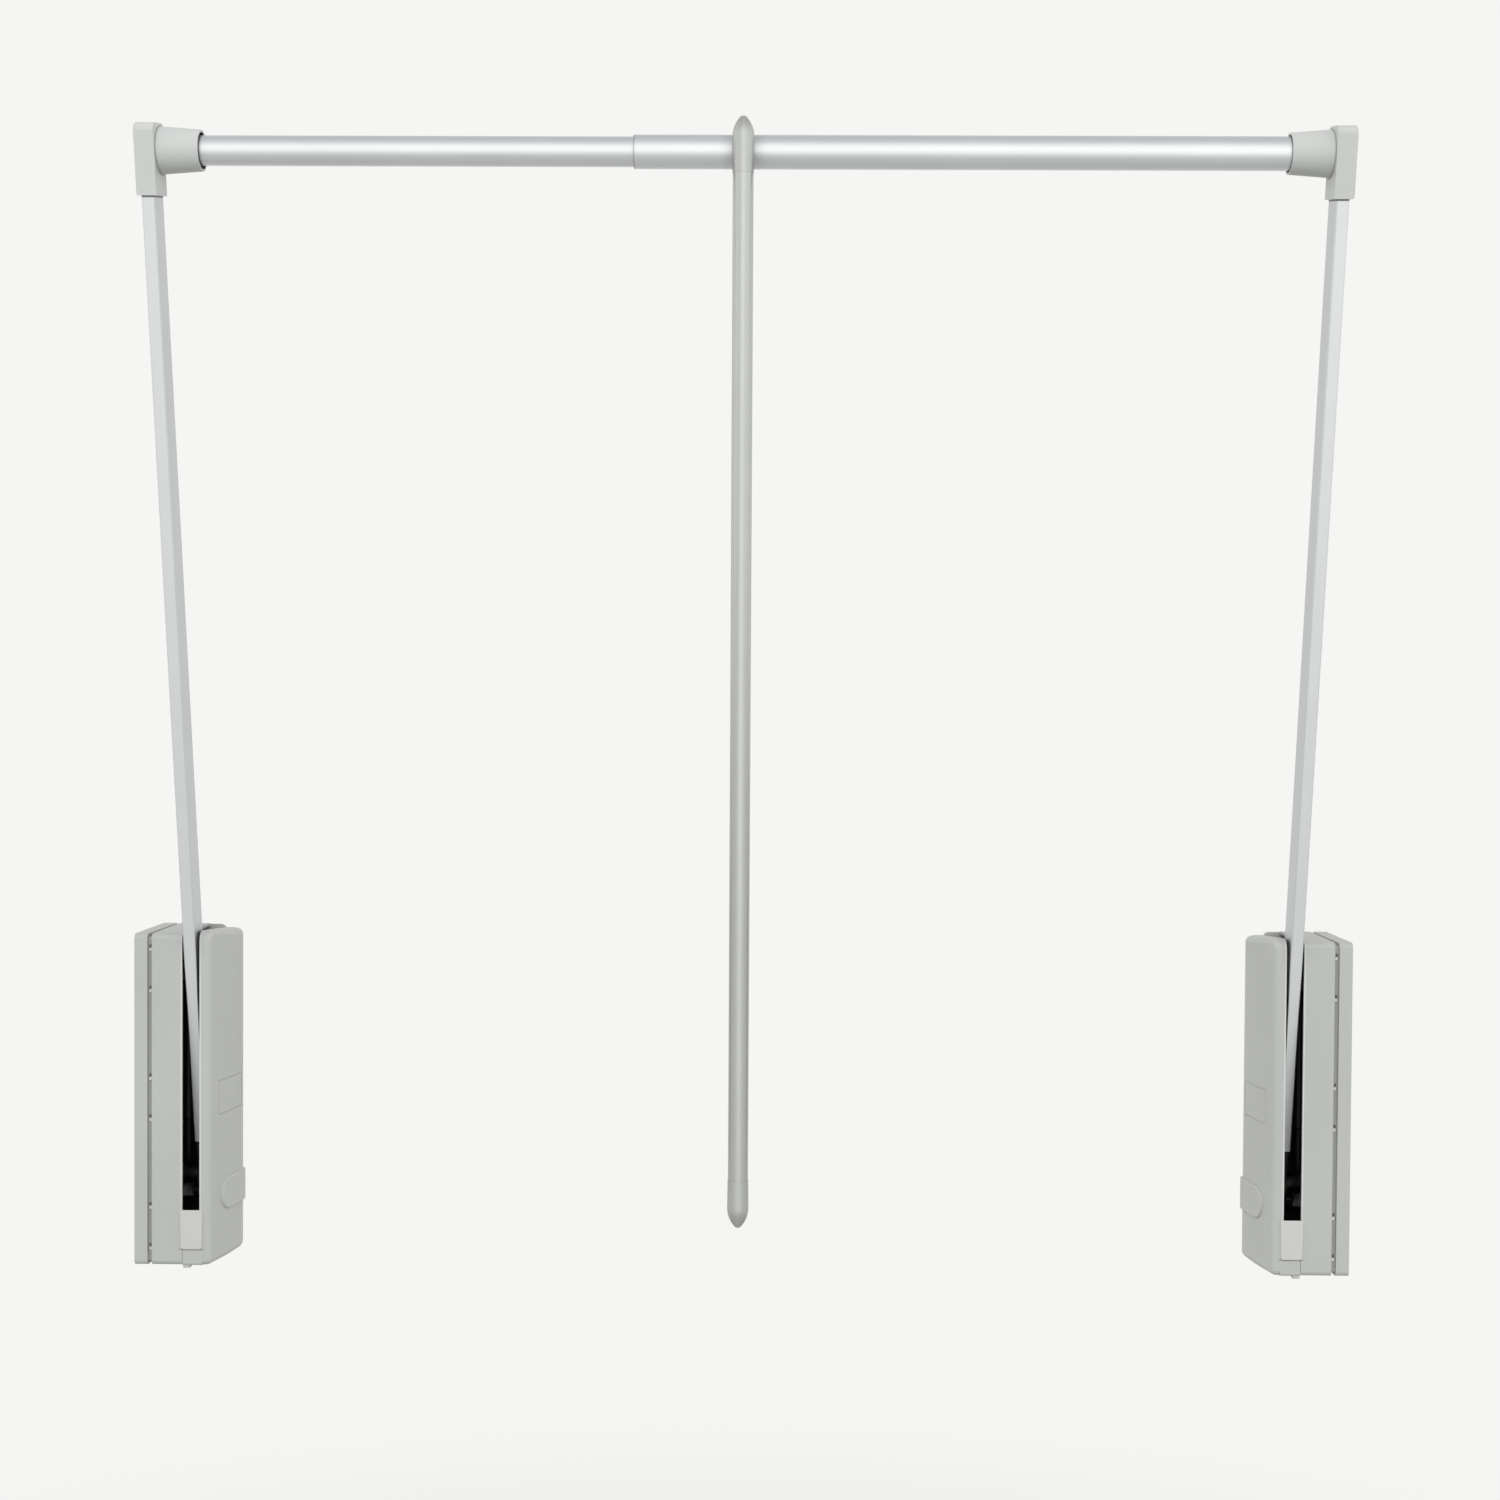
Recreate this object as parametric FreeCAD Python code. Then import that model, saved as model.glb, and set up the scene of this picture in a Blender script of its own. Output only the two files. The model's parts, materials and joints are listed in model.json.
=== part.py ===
import FreeCAD, Part
import math
import os

# Pull-down wardrobe lift. X runs from the left side panel to the right one, Y into the wardrobe, Z up.
# The origin is the middle of the left wall plate's back face. All sizes are in millimetres.

# ---- Driving dimensions ----

span = 900.0  # between the two side panels
lift_angle = 85.0  # degrees that the arms swing forward and down
travel_out = 250.0  # how far the rail can be pulled wider
spare = 1.0  # how far a cutting body reaches past what it cuts
tolerance = 0.001
softness = 0.6  # share of a thin plate or head that its rounding takes

house_height = 247.0
house_depth = 83.0
house_corner = 4.0  # rounded front, back, top and bottom edges
least_corner = 0.8  # of the hollows inside
plate_width = 9.8  # wall plate, from the panel to the groove
groove_width = 3.1
shell_width = 22.6  # outer half, from the groove to the slot
slot_width = 13.0
cover_width = 18.8  # inner half, from the slot to its widest place
cover_strip = 8.0  # flat front of the cover
cover_belly = 1.4  # how far the cover's side bulges between its front and its widest place
cover_widest = 15.0  # behind the pivot
cover_waist = 9.0  # how much narrower the cover is at its back than at its widest place
cover_rise = 2.6  # the cover's top above the shell's at the front
cover_fall = 3.2  # and below it at the back
cover_brow = 8.0  # rounding between the cover's front and top
cover_heel = 25.0  # rounding at its widest place
cover_edge = 4.5  # rounding of all its other edges
skin = 2.2  # plastic wall of the housing
seam = 0.3  # between the cover's sill and the shell
slot_floor = 41.5  # height of the slot's lower end above the housing's underside

plate_floor = 2.4
lip_wall = 1.6  # lip of the wall plate that the shell slips over
lip_reach = 3.3  # how far the lip reaches into the shell
slip = 0.3  # clearance between parts that slip over each other
mount_pitch_y = 52.0
mount_pitch_z = 192.0
mount_hole = 2.5  # radius

clip_width = 17.0
clip_shift = 0.5  # from the slot's middle towards the cover
clip_taper = 0.5  # narrower on each side at its foot
clip_height = 29.3
clip_plate = 1.4
clip_corner = 2.2
clip_tongue = 14.0
clip_lip = 3.6  # how far the clip's plate stands above its tongue
tab_size = (5.0, 6.0, 2.0)  # latch tab under the cover
tab_place = (0.6, 1.0)  # from the slot and from the housing's front
boss_length = 54.0  # long boss on the cover below the axle's head
boss_height = 24.4
boss_rise = 1.8
boss_edge = 1.2
boss_drop = 11.0  # from the pivot to the boss's middle
frame_height = 26.0  # plain engraved frame on the cover's inner side
frame_length = 40.6
frame_above = 50.0  # from the pivot to the frame's lower edge
frame_behind = 10.2  # how far the frame reaches behind the pivot
frame_line = 0.7
frame_depth = 0.5
bridge_corner = 5.0  # rounded upper end of the back wall behind the slot

sheet = 1.5  # steel of the chassis
chassis_gap = 1.2  # between the chassis and the lip round it
chassis_sink = 0.2  # how far the chassis lies outside the shell's outer end
cheek_gap = 1.0  # between the slot's inner side and the chassis cheek
cheek_lead = 8.0  # how far the cheek reaches in front of the lever's hub
cheek_slope = 56.0  # from the pivot to where the cheek's front edge starts to slope back
cheek_taper = 14.0  # the cheek's depth at its top
bracket_lead = 3.0  # how far the spring's bracket reaches in front of the spring
chassis_back = 36.5  # outer face of the back web, from the housing's middle
chassis_top = 15.5  # below the housing's top
chassis_foot = 11.5  # above the housing's underside
boss_radius = 5.0
screw_radius = 2.0
screw_head = 4.0
screw_head_height = 2.2
screw_end_gap = 2.0  # between the screw's end and the wall plate's floor
front_screws_y = -28.0  # the chassis has two screws near its front and two near its middle
middle_screws_y = 4.0
hub_screw_rise = 33.5  # above the pivot
upper_screw_drop = 48.0  # below the chassis's upper end
top_screw_drop = 8.0
foot_screw_rise = 12.0  # above the chassis's lower end
access_hole = 6.0  # lets a screwdriver reach the panel screws

pivot_height = 60.0  # above the housing's underside
pivot_setback = 43.5  # behind the housing's front
axle_radius = 5.0
axle_head = 8.0
axle_head_height = 2.4
axle_end_height = 1.4
axle_end_lip = 1.2
sleeve_wall = 2.0
bush_wall = 1.5
bush_flange = 9.0
fit = 0.05  # radial clearance of a fixed fit
running = 0.07  # radial clearance of a running fit
side_play = 0.2  # between the lever and what lies beside it

arm_depth = 23.0
arm_width = 9.0
arm_wall = 1.5
arm_corner = 1.2
arm_lean = 11.4  # degrees forward of upright when raised
arm_reach = 753.0  # from the pivot to the level of the rail, along the arm
arm_start = 30.0  # from the pivot to the arm's lower end
arm_past_rail = 10.0
rail_offset = 5.0  # the rail's axis lies behind the arm's middle

lever_length = 90.0
lever_hub = 14.0
lever_fit = 0.1  # between the lever and the inside of the arm
rivet_heights = (44.0, 68.0)
rivet_radius = 2.5
rivet_head = 4.0
rivet_head_height = 1.0

crank_length = 24.0
crank_tip = 8.0
crank_pin_radius = 3.0
crank_collar = 4.5
crank_head_height = 1.4
crank_end_height = 1.2
roller_radius = 6.0
roller_width = 10.0
roller_corner = 0.8
crosshead_height = 12.0
crosshead_depth = 22.0
crosshead_width = 18.0
crosshead_corner = 2.0
crosshead_gap = 0.3  # above the roller at rest
crosshead_rise = 33.1  # when the lift is down
guide_spare = 2.0  # slot of the guide beyond both ends of the travel
tongue_width = 8.0
spring_radius = 9.0
spring_length = 105.0
spring_rod_radius = 4.0
spring_rod_length = 80.0
spring_socket = 6.0
spring_collar_height = 2.0
spring_collar_lip = 2.5
spring_corner = 1.5
spring_end_gap = 3.0  # above the rod's end in the raised position of the crosshead
spring_y = 22.0
spring_gap = 3.4  # between the raised crosshead and the cylinder
spring_stud = 10.0
nut_flats = 13.0
nut_height = 6.0
bumper_gap = 0.3
bumper_start = 9.0  # from the pivot to the bumper's free end
bumper_height = 11.0
bumper_nose = 5.0  # height of the bumper's free end
bumper_ramp = 6.0
bumper_side = 0.8  # how far the bumper is wider than the lever on each side

connector_depth = 27.3
connector_outer_wall = 2.8
connector_inner_wall = 2.0
connector_above = 18.2
connector_below = 30.4
connector_crown = 6.0
connector_edge = 1.2
cone_base = 16.1
cone_rim = 13.95
cone_length = 28.4
cone_mouth = 12.3
cone_mouth_depth = 8.0
connector_screw_radius = 3.0
connector_screw_head = 5.5
connector_screw_head_height = 2.4
plug_length = 18.0
plug_floor = 2.0  # between the screw's end and the plug's

inner_tube_radius = 10.2
outer_tube_radius = 11.5
inner_tube_wall = 1.2
outer_tube_wall = 1.0
mouth_left_of_middle = 75.4  # mouth of the outer tube
overlap = 299.4  # of the tubes at rest
guide_length = 12.0
guide_spigot = 10.0

handle_length = 767.4
handle_tilt = 2.99  # degrees, so that it hangs with its weight below the rail
handle_forward = 19.0  # its axis before the rail's at the level of the rail
handle_above = 19.4
handle_radius = 7.1
handle_wall = 1.2
cap_radius = 7.55
cap_nose = 14.0
cap_flat = 1.8  # small flat at the caps' points
cap_flare = 18.0  # stretch on which the caps thin out to the rod
cap_rim = 7.3
head_length = 38.0
tip_length = 34.0
ring_wall = 3.0
ring_width = 12.0
ring_mouth = 95.0  # degrees, opening of the clip round the tube

# ---- Places that follow from the sizes ----

front = -house_depth / 2
back = house_depth / 2
bottom = -house_height / 2
top = house_height / 2
shell_x = plate_width + groove_width
slot_x = shell_x + shell_width
cover_x = slot_x + slot_width
cover_far_x = cover_x + cover_width
floor_z = bottom + slot_floor
tongue_top = floor_z - clip_lip
pivot_y = front + pivot_setback
pivot_z = bottom + pivot_height

lip_inset = skin + slip
lip_end_x = shell_x + lip_reach
chassis_x = shell_x - chassis_sink
chassis_inner_x = chassis_x + sheet
cheek_x = cover_x + cheek_gap
chassis_front = front + lip_inset + lip_wall + chassis_gap
web_y = chassis_back - sheet
chassis_low = bottom + chassis_foot
chassis_high = top - chassis_top
chassis_screw_places = (
    (front_screws_y, pivot_z + hub_screw_rise),
    (front_screws_y, chassis_high - upper_screw_drop),
    (middle_screws_y, chassis_high - top_screw_drop),
    (middle_screws_y, chassis_low + foot_screw_rise),
)
cheek_front = pivot_y - lever_hub - cheek_lead

slot_middle = slot_x + slot_width / 2
arm_x = slot_middle
arm_left = arm_x - arm_width / 2
arm_right = arm_x + arm_width / 2
lever_width = arm_width - 2 * arm_wall - 2 * lever_fit
lever_left = arm_x - lever_width / 2
lever_right = arm_x + lever_width / 2
lever_depth = arm_depth - 2 * arm_wall - 2 * lever_fit
crank_angle = -lift_angle / 2  # at rest, from +Y towards +Z
crank_y = pivot_y + crank_length * math.cos(math.radians(crank_angle))
crank_z = pivot_z + crank_length * math.sin(math.radians(crank_angle))

spring_x = chassis_inner_x + slip + crosshead_width / 2
crosshead_z = crank_z + roller_radius + crosshead_gap
crosshead_top = crosshead_z + crosshead_height
spring_z = crosshead_top + crosshead_rise + spring_gap
bracket_z = spring_z + spring_length
roller_left = spring_x - roller_width / 2
roller_right = spring_x + roller_width / 2

connector_x = arm_left - fit - connector_outer_wall
cone_x = arm_right + fit + connector_inner_wall
rim_x = cone_x + cone_length
rail_y = pivot_y + rail_offset  # before the arm is leaned
rail_z = pivot_z + arm_reach
rail_place = FreeCAD.Vector(0, rail_y, rail_z)
pivot_place = FreeCAD.Vector(0, pivot_y, pivot_z)
x_axis = FreeCAD.Vector(1, 0, 0)

# ---- Shapes ----


def box(x0, x1, y0, y1, z0, z1):
    return Part.makeBox(x1 - x0, y1 - y0, z1 - z0, FreeCAD.Vector(x0, y0, z0))


def rod_x(x0, x1, y, z, radius):
    return Part.makeCylinder(radius, x1 - x0, FreeCAD.Vector(x0, y, z), x_axis)


def rod_z(x, y, z0, z1, radius):
    return Part.makeCylinder(radius, z1 - z0, FreeCAD.Vector(x, y, z0))


def plate_x(points, x0, x1):
    """A plate between x0 and x1 with its outline in Y and Z."""
    corners = [FreeCAD.Vector(x0, y, z) for y, z in points]
    wire = Part.makePolygon(corners + corners[:1])
    return Part.Face(wire).extrude(FreeCAD.Vector(x1 - x0, 0, 0))


def plate_z(points, z0, z1):
    """A plate between z0 and z1 with its outline in X and Y."""
    corners = [FreeCAD.Vector(x, y, z0) for x, y in points]
    wire = Part.makePolygon(corners + corners[:1])
    return Part.Face(wire).extrude(FreeCAD.Vector(0, 0, z1 - z0))


def middle(edge):
    return edge.valueAt((edge.FirstParameter + edge.LastParameter) / 2)


def runs_along(edge, axis):
    ends = [vertex.Point for vertex in edge.Vertexes]
    if len(ends) != 2:
        return False
    line = ends[1] - ends[0]
    return line.Length > 0 and abs(line.normalize().dot(axis)) > 0.999


def rounded(shape, radius, wanted):
    """Rounds the edges that the test picks."""
    edges = [edge for edge in shape.Edges if wanted(edge)]
    return shape.makeFillet(radius, edges)


def rounded_box_x(x0, x1, y0, y1, z0, z1, radius):
    block = box(x0, x1, y0, y1, z0, z1)
    return rounded(block, radius, lambda edge: runs_along(edge, x_axis))


def leaned(shape):
    """Turns what is drawn upright on the pivot to the arm's raised position."""
    turned = shape.copy()
    turned.rotate(pivot_place, x_axis, arm_lean)
    return turned


def lean_point(point):
    return FreeCAD.Rotation(x_axis, arm_lean).multVec(point - pivot_place) + pivot_place


def corner_arc(before, corner, after, radius):
    """Tangent points and middle point of the arc that rounds a corner."""
    back = (before - corner).normalize()
    ahead = (after - corner).normalize()
    half = back.getAngle(ahead) / 2
    reach = radius / math.tan(half)
    centre = corner + (back + ahead).normalize() * (radius / math.sin(half))
    nearest = centre + (corner - centre).normalize() * radius
    return corner + back * reach, nearest, corner + ahead * reach


def soft_outline(corners):
    """A closed flat wire through corners that each have a rounding radius, or 0."""
    count = len(corners)
    arcs = []
    for index, (corner, radius) in enumerate(corners):
        before = corners[index - 1][0]
        after = corners[(index + 1) % count][0]
        arcs.append(corner_arc(before, corner, after, radius) if radius else (corner, corner, corner))
    edges = []
    for index, (start, nearest, end) in enumerate(arcs):
        if (end - start).Length > 0:
            edges.append(Part.Arc(start, nearest, end).toShape())
        edges.append(Part.makeLine(end, arcs[(index + 1) % count][0]))
    return Part.Wire(edges)


def soft_prism(corners, inset, travel):
    """The outline, made smaller by the inset, drawn along the travel."""
    outline = soft_outline(corners)
    if inset:
        outline = outline.makeOffset2D(-inset)
    return Part.Face(outline).extrude(travel)


rail = lean_point(rail_place)

# ---- Housing ----


def house_block(inset, x0, x1):
    radius = max(house_corner - inset, least_corner)
    return rounded_box_x(x0, x1, front + inset, back - inset, bottom + inset, top - inset, radius)


def mount_places():
    half_y = mount_pitch_y / 2
    half_z = mount_pitch_z / 2
    return [(y, z) for y in (-half_y, half_y) for z in (-half_z, half_z)]


def wall_plate():
    rim = house_block(0, 0, plate_width)
    lip = house_block(lip_inset, plate_floor, lip_end_x)
    hollow = house_block(lip_inset + lip_wall, plate_floor, lip_end_x + spare)
    plate = rim.fuse(lip).cut(hollow)
    for y, z in chassis_screw_places:
        plate = plate.fuse(rod_x(plate_floor / 2, chassis_x, y, z, boss_radius))
        plate = plate.cut(rod_x(plate_floor + spare, chassis_x + spare, y, z, screw_radius + fit))
    for y, z in mount_places():
        plate = plate.cut(rod_x(-spare, plate_floor + spare, y, z, mount_hole))
    return plate.removeSplitter()


def body_shell():
    ring = house_block(0, shell_x, slot_x).cut(house_block(skin, shell_x - spare, slot_x + spare))
    bridge = box(slot_x - skin, cover_x, back - skin, back, bottom + house_corner, top - least_corner)
    bridge = rounded(
        bridge,
        bridge_corner,
        lambda edge: middle(edge).z > top - skin and abs(middle(edge).x - cover_x) < tolerance,
    )
    return ring.fuse(bridge).removeSplitter()


def cover_core():
    """The cover's outer body, smaller all round by the rounding of its edges."""
    strip_x = cover_x + cover_strip
    widest_y = pivot_y + cover_widest
    belly_x = (strip_x + cover_far_x) / 2 + cover_belly
    belly_y = (front + widest_y) / 2
    floor_plan = [
        (FreeCAD.Vector(slot_x, front, bottom), 0),
        (FreeCAD.Vector(strip_x, front, bottom), 0),
        (FreeCAD.Vector(belly_x, belly_y, bottom), house_height),
        (FreeCAD.Vector(cover_far_x, widest_y, bottom), cover_heel),
        (FreeCAD.Vector(cover_far_x - cover_waist, back, bottom), 0),
        (FreeCAD.Vector(slot_x, back, bottom), 0),
    ]
    side_view = [
        (FreeCAD.Vector(slot_x, front, bottom), 0),
        (FreeCAD.Vector(slot_x, back, bottom), 0),
        (FreeCAD.Vector(slot_x, back, top - cover_fall), 0),
        (FreeCAD.Vector(slot_x, front, top + cover_rise), cover_brow),
    ]
    upright = soft_prism(floor_plan, cover_edge, FreeCAD.Vector(0, 0, house_height + cover_rise))
    across = soft_prism(side_view, cover_edge, FreeCAD.Vector(cover_far_x, 0, 0))
    return upright.common(across).Solids[0]


def cover_block(inset):
    """The core grown back to the cover's outside, or to its inside with the wall as inset."""
    return cover_core().makeOffsetShape(cover_edge - inset, tolerance, join=0)


def inner_cover():
    outer = cover_block(0)
    keep = box(cover_x, 2 * cover_far_x, 2 * front, 2 * back, 2 * bottom, 2 * top)
    cover = outer.fuse(axle_boss()).common(keep).cut(cover_block(skin))
    sill_x = slot_x + seam
    sill = box(sill_x, cover_x + skin, front, front + skin, bottom, floor_z)
    ledge_top = tongue_top - skin
    ledge_end = cheek_front - cheek_gap
    floor_end = web_y - cheek_gap
    sill = sill.fuse(box(sill_x, cover_x + skin, front, ledge_end, ledge_top - skin, ledge_top))
    sill = sill.fuse(box(sill_x, cover_x + skin, front, floor_end, bottom, bottom + skin))
    cut_for_clip = box(
        slot_x - spare, cover_x, front - spare, front + skin + spare, ledge_top, floor_z + spare
    )
    sill = rounded(
        sill.removeSplitter(),
        house_corner / 2,
        lambda edge: runs_along(edge, x_axis)
        and abs(middle(edge).y - front) < tolerance
        and abs(middle(edge).z - bottom) < tolerance,
    ).cut(cut_for_clip)
    tab_x, tab_y, tab_z = tab_size
    tab_left = slot_x + tab_place[0]
    tab_front = front + tab_place[1]
    tab = box(tab_left, tab_left + tab_x, tab_front, tab_front + tab_y, bottom - tab_z, bottom + skin)
    engraving = plain_frame().cut(cover_block(frame_depth))
    return cover.cut(engraving).fuse(sill).fuse(tab).removeSplitter()


def axle_boss():
    """Long low boss with a soft edge that follows the cover's side."""
    half = boss_length / 2
    radius = boss_height / 2
    z = pivot_z - boss_drop
    ends = (pivot_y - half + radius, pivot_y + half - radius)
    outline = box(cover_x, 2 * cover_far_x, ends[0], ends[1], z - radius, z + radius)
    outline = outline.fuse([rod_x(cover_x, 2 * cover_far_x, y, z, radius) for y in ends]).removeSplitter()
    boss = outline.common(cover_block(-boss_rise)).removeSplitter()
    return rounded(
        boss,
        boss_edge,
        lambda edge: not runs_along(edge, x_axis) and edge.BoundBox.XMin > cover_x + tolerance,
    )


def plain_frame():
    """The body that the frame's lines are engraved with, all through the cover's side."""
    low = pivot_z + frame_above
    y0 = pivot_y + frame_behind - frame_length
    outer = box(cover_x + cover_strip, 2 * cover_far_x, y0, y0 + frame_length, low, low + frame_height)
    hole = box(
        cover_x,
        3 * cover_far_x,
        y0 + frame_line,
        y0 + frame_length - frame_line,
        low + frame_line,
        low + frame_height - frame_line,
    )
    return outer.cut(hole)


def slot_clip():
    face_y = front - clip_plate
    foot_z = floor_z - clip_height
    x = slot_middle + clip_shift
    half = clip_width / 2
    foot_half = half - clip_taper
    corners = [
        (FreeCAD.Vector(x - half, face_y, floor_z), clip_plate),
        (FreeCAD.Vector(x + half, face_y, floor_z), clip_plate),
        (FreeCAD.Vector(x + foot_half, face_y, foot_z), clip_corner),
        (FreeCAD.Vector(x - foot_half, face_y, foot_z), clip_corner),
    ]
    plate = soft_prism(corners, 0, FreeCAD.Vector(0, clip_plate, 0))
    plate = rounded(plate, clip_plate * softness, lambda edge: abs(middle(edge).y - face_y) < tolerance)
    tongue = box(
        slot_x + slip,
        cover_x - slip,
        front - clip_plate / 2,
        front + clip_tongue,
        tongue_top - skin + running,
        tongue_top,
    )
    return plate.fuse(tongue).removeSplitter()


# ---- Chassis and mechanism ----


def chassis():
    """Steel folded to a channel that is open towards the wardrobe's door."""
    low = chassis_low
    high = chassis_high
    base = box(chassis_x, chassis_inner_x, chassis_front, chassis_back, low, high)
    web = box(chassis_x, cheek_x + sheet, web_y, chassis_back, low, high)
    cheek = plate_x(
        (
            (chassis_back, low),
            (cheek_front, low),
            (cheek_front, pivot_z + lever_hub),
            (pivot_y + lever_hub, pivot_z + cheek_slope),
            (chassis_back - cheek_taper, high),
            (chassis_back, high),
        ),
        cheek_x,
        cheek_x + sheet,
    )
    foot = box(chassis_x, cheek_x + sheet, cheek_front, chassis_back, low, low + sheet)
    bracket_front = spring_y - spring_radius - bracket_lead
    bracket = box(chassis_x, slot_x, bracket_front, chassis_back, bracket_z, bracket_z + sheet)
    shape = base.fuse([web, cheek, foot, bracket])
    shape = shape.cut(rod_x(0, cover_far_x, pivot_y, pivot_z, axle_radius + fit))
    guide_half = tongue_width / 2 + running
    shape = shape.cut(
        box(
            chassis_x - spare,
            chassis_inner_x,
            spring_y - guide_half,
            spring_y + guide_half,
            crosshead_z - guide_spare,
            crosshead_top + crosshead_rise + guide_spare,
        )
    )
    bracket_top = bracket_z + sheet
    shape = shape.cut(
        rod_z(spring_x, spring_y, bracket_z - spare, bracket_top + spare, spring_rod_radius + slip)
    )
    for y, z in chassis_screw_places:
        shape = shape.cut(rod_x(chassis_x - spare, chassis_inner_x + spare, y, z, screw_radius + fit))
    for y, z in mount_places():
        shape = shape.cut(rod_x(chassis_x - spare, chassis_inner_x + spare, y, z, access_hole))
    return shape.removeSplitter()


def pan_screw(x, y, z, radius, head, head_height, length):
    """Screw along X with its head on the inner side of x."""
    shank = rod_x(x - length, x, y, z, radius)
    cap = rod_x(x, x + head_height, y, z, head)
    cap = rounded(cap, head_height * softness, lambda edge: abs(middle(edge).x - x - head_height) < tolerance)
    return shank.fuse(cap)


def chassis_screws():
    length = chassis_inner_x - plate_floor - screw_end_gap
    return Part.makeCompound(
        [
            pan_screw(chassis_inner_x, y, z, screw_radius, screw_head, screw_head_height, length)
            for y, z in chassis_screw_places
        ]
    )


def pivot_axle():
    far_end = chassis_x - axle_end_height
    head_x = cheek_x + sheet
    shaft = rod_x(far_end, head_x, pivot_y, pivot_z, axle_radius)
    head = rod_x(head_x, head_x + axle_head_height, pivot_y, pivot_z, axle_head)
    end = rod_x(far_end, chassis_x, pivot_y, pivot_z, axle_radius + axle_end_lip)
    return shaft.fuse([head, end]).removeSplitter()


def pivot_sleeve():
    sleeve = rod_x(chassis_inner_x, lever_left - side_play, pivot_y, pivot_z, axle_radius + fit + sleeve_wall)
    return sleeve.cut(rod_x(chassis_x, lever_right, pivot_y, pivot_z, axle_radius + fit))


def pivot_bush():
    barrel = rod_x(lever_left, lever_right, pivot_y, pivot_z, axle_radius + running + bush_wall)
    flange = rod_x(lever_right, cheek_x - side_play, pivot_y, pivot_z, bush_flange)
    bore = rod_x(lever_left - spare, cheek_x, pivot_y, pivot_z, axle_radius + running)
    return barrel.fuse(flange).cut(bore).removeSplitter()


def tangent_link(y0, z0, r0, y1, z1, r1, x0, x1):
    """Plate round two circles with straight flanks that touch both."""
    heading = math.atan2(z1 - z0, y1 - y0)
    length = math.hypot(y1 - y0, z1 - z0)
    spread = math.acos((r0 - r1) / length)
    corners = []
    for y, z, radius, sign in ((y0, z0, r0, 1), (y1, z1, r1, 1), (y1, z1, r1, -1), (y0, z0, r0, -1)):
        angle = heading + sign * spread
        corners.append((y + radius * math.cos(angle), z + radius * math.sin(angle)))
    web = plate_x(corners, x0, x1)
    return web.fuse([rod_x(x0, x1, y0, z0, r0), rod_x(x0, x1, y1, z1, r1)])


def lever():
    shank = box(
        lever_left,
        lever_right,
        pivot_y - lever_depth / 2,
        pivot_y + lever_depth / 2,
        pivot_z,
        pivot_z + lever_length,
    )
    shape = leaned(shank).fuse(
        tangent_link(pivot_y, pivot_z, lever_hub, crank_y, crank_z, crank_tip, lever_left, lever_right)
    )
    shape = shape.cut(rod_x(0, cover_x, pivot_y, pivot_z, axle_radius + running + bush_wall + fit))
    shape = shape.cut(rod_x(0, cover_x, crank_y, crank_z, crank_pin_radius + fit))
    for height in rivet_heights:
        shape = shape.cut(leaned(rod_x(0, cover_x, pivot_y, pivot_z + height, rivet_radius + fit)))
    return shape.removeSplitter()


def crank_pin():
    far_end = roller_left - side_play
    shaft = rod_x(far_end, lever_right, crank_y, crank_z, crank_pin_radius)
    collar = rod_x(roller_right + side_play, lever_left, crank_y, crank_z, crank_collar)
    head = rod_x(lever_right, lever_right + crank_head_height, crank_y, crank_z, crank_collar)
    cap = rod_x(far_end - crank_end_height, far_end, crank_y, crank_z, crank_collar)
    return shaft.fuse([collar, head, cap]).removeSplitter()


def roller():
    wheel = rod_x(roller_left, roller_right, crank_y, crank_z, roller_radius)
    wheel = rounded(wheel, roller_corner, lambda edge: len(edge.Vertexes) == 1)
    bore_radius = crank_pin_radius + running
    return wheel.cut(rod_x(roller_left - spare, roller_right + spare, crank_y, crank_z, bore_radius))


def crosshead():
    left = chassis_inner_x + slip
    block = box(
        left,
        left + crosshead_width,
        spring_y - crosshead_depth / 2,
        spring_y + crosshead_depth / 2,
        crosshead_z,
        crosshead_top,
    )
    block = rounded(
        block,
        crosshead_corner,
        lambda edge: runs_along(edge, FreeCAD.Vector(0, 0, 1)) and middle(edge).x > left + sheet,
    )
    half = tongue_width / 2
    tongue = box(chassis_x + slip, left + sheet, spring_y - half, spring_y + half, crosshead_z, crosshead_top)
    socket_floor = crosshead_top - spring_socket
    socket = rod_z(spring_x, spring_y, socket_floor, crosshead_top + spare, spring_rod_radius + fit)
    return block.fuse(tongue).cut(socket).removeSplitter()


def gas_spring_rod():
    low = crosshead_top - spring_socket
    shape = rod_z(spring_x, spring_y, low, low + spring_rod_length, spring_rod_radius)
    collar_top = crosshead_top + spring_collar_height
    collar = rod_z(spring_x, spring_y, crosshead_top, collar_top, spring_rod_radius + spring_collar_lip)
    return shape.fuse(collar).removeSplitter()


def gas_spring_cylinder():
    tube = rod_z(spring_x, spring_y, spring_z, bracket_z, spring_radius)
    tube = rounded(tube, spring_corner, lambda edge: len(edge.Vertexes) == 1)
    bore_end = crosshead_top - spring_socket + spring_rod_length + crosshead_rise + spring_end_gap
    bore = rod_z(spring_x, spring_y, spring_z - spare, bore_end, spring_rod_radius + running)
    stud = rod_z(spring_x, spring_y, bracket_z - sheet, bracket_z + spring_stud, spring_rod_radius)
    return tube.cut(bore).fuse(stud).removeSplitter()


def gas_spring_nut():
    corner = nut_flats / 2 / math.cos(math.radians(30))
    angles = [math.radians(60 * turn) for turn in range(6)]
    outline = [(spring_x + corner * math.cos(a), spring_y + corner * math.sin(a)) for a in angles]
    low = bracket_z + sheet
    return plate_z(outline, low, low + nut_height).cut(
        rod_z(spring_x, spring_y, low - spare, low + nut_height + spare, spring_rod_radius + fit)
    )


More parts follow.
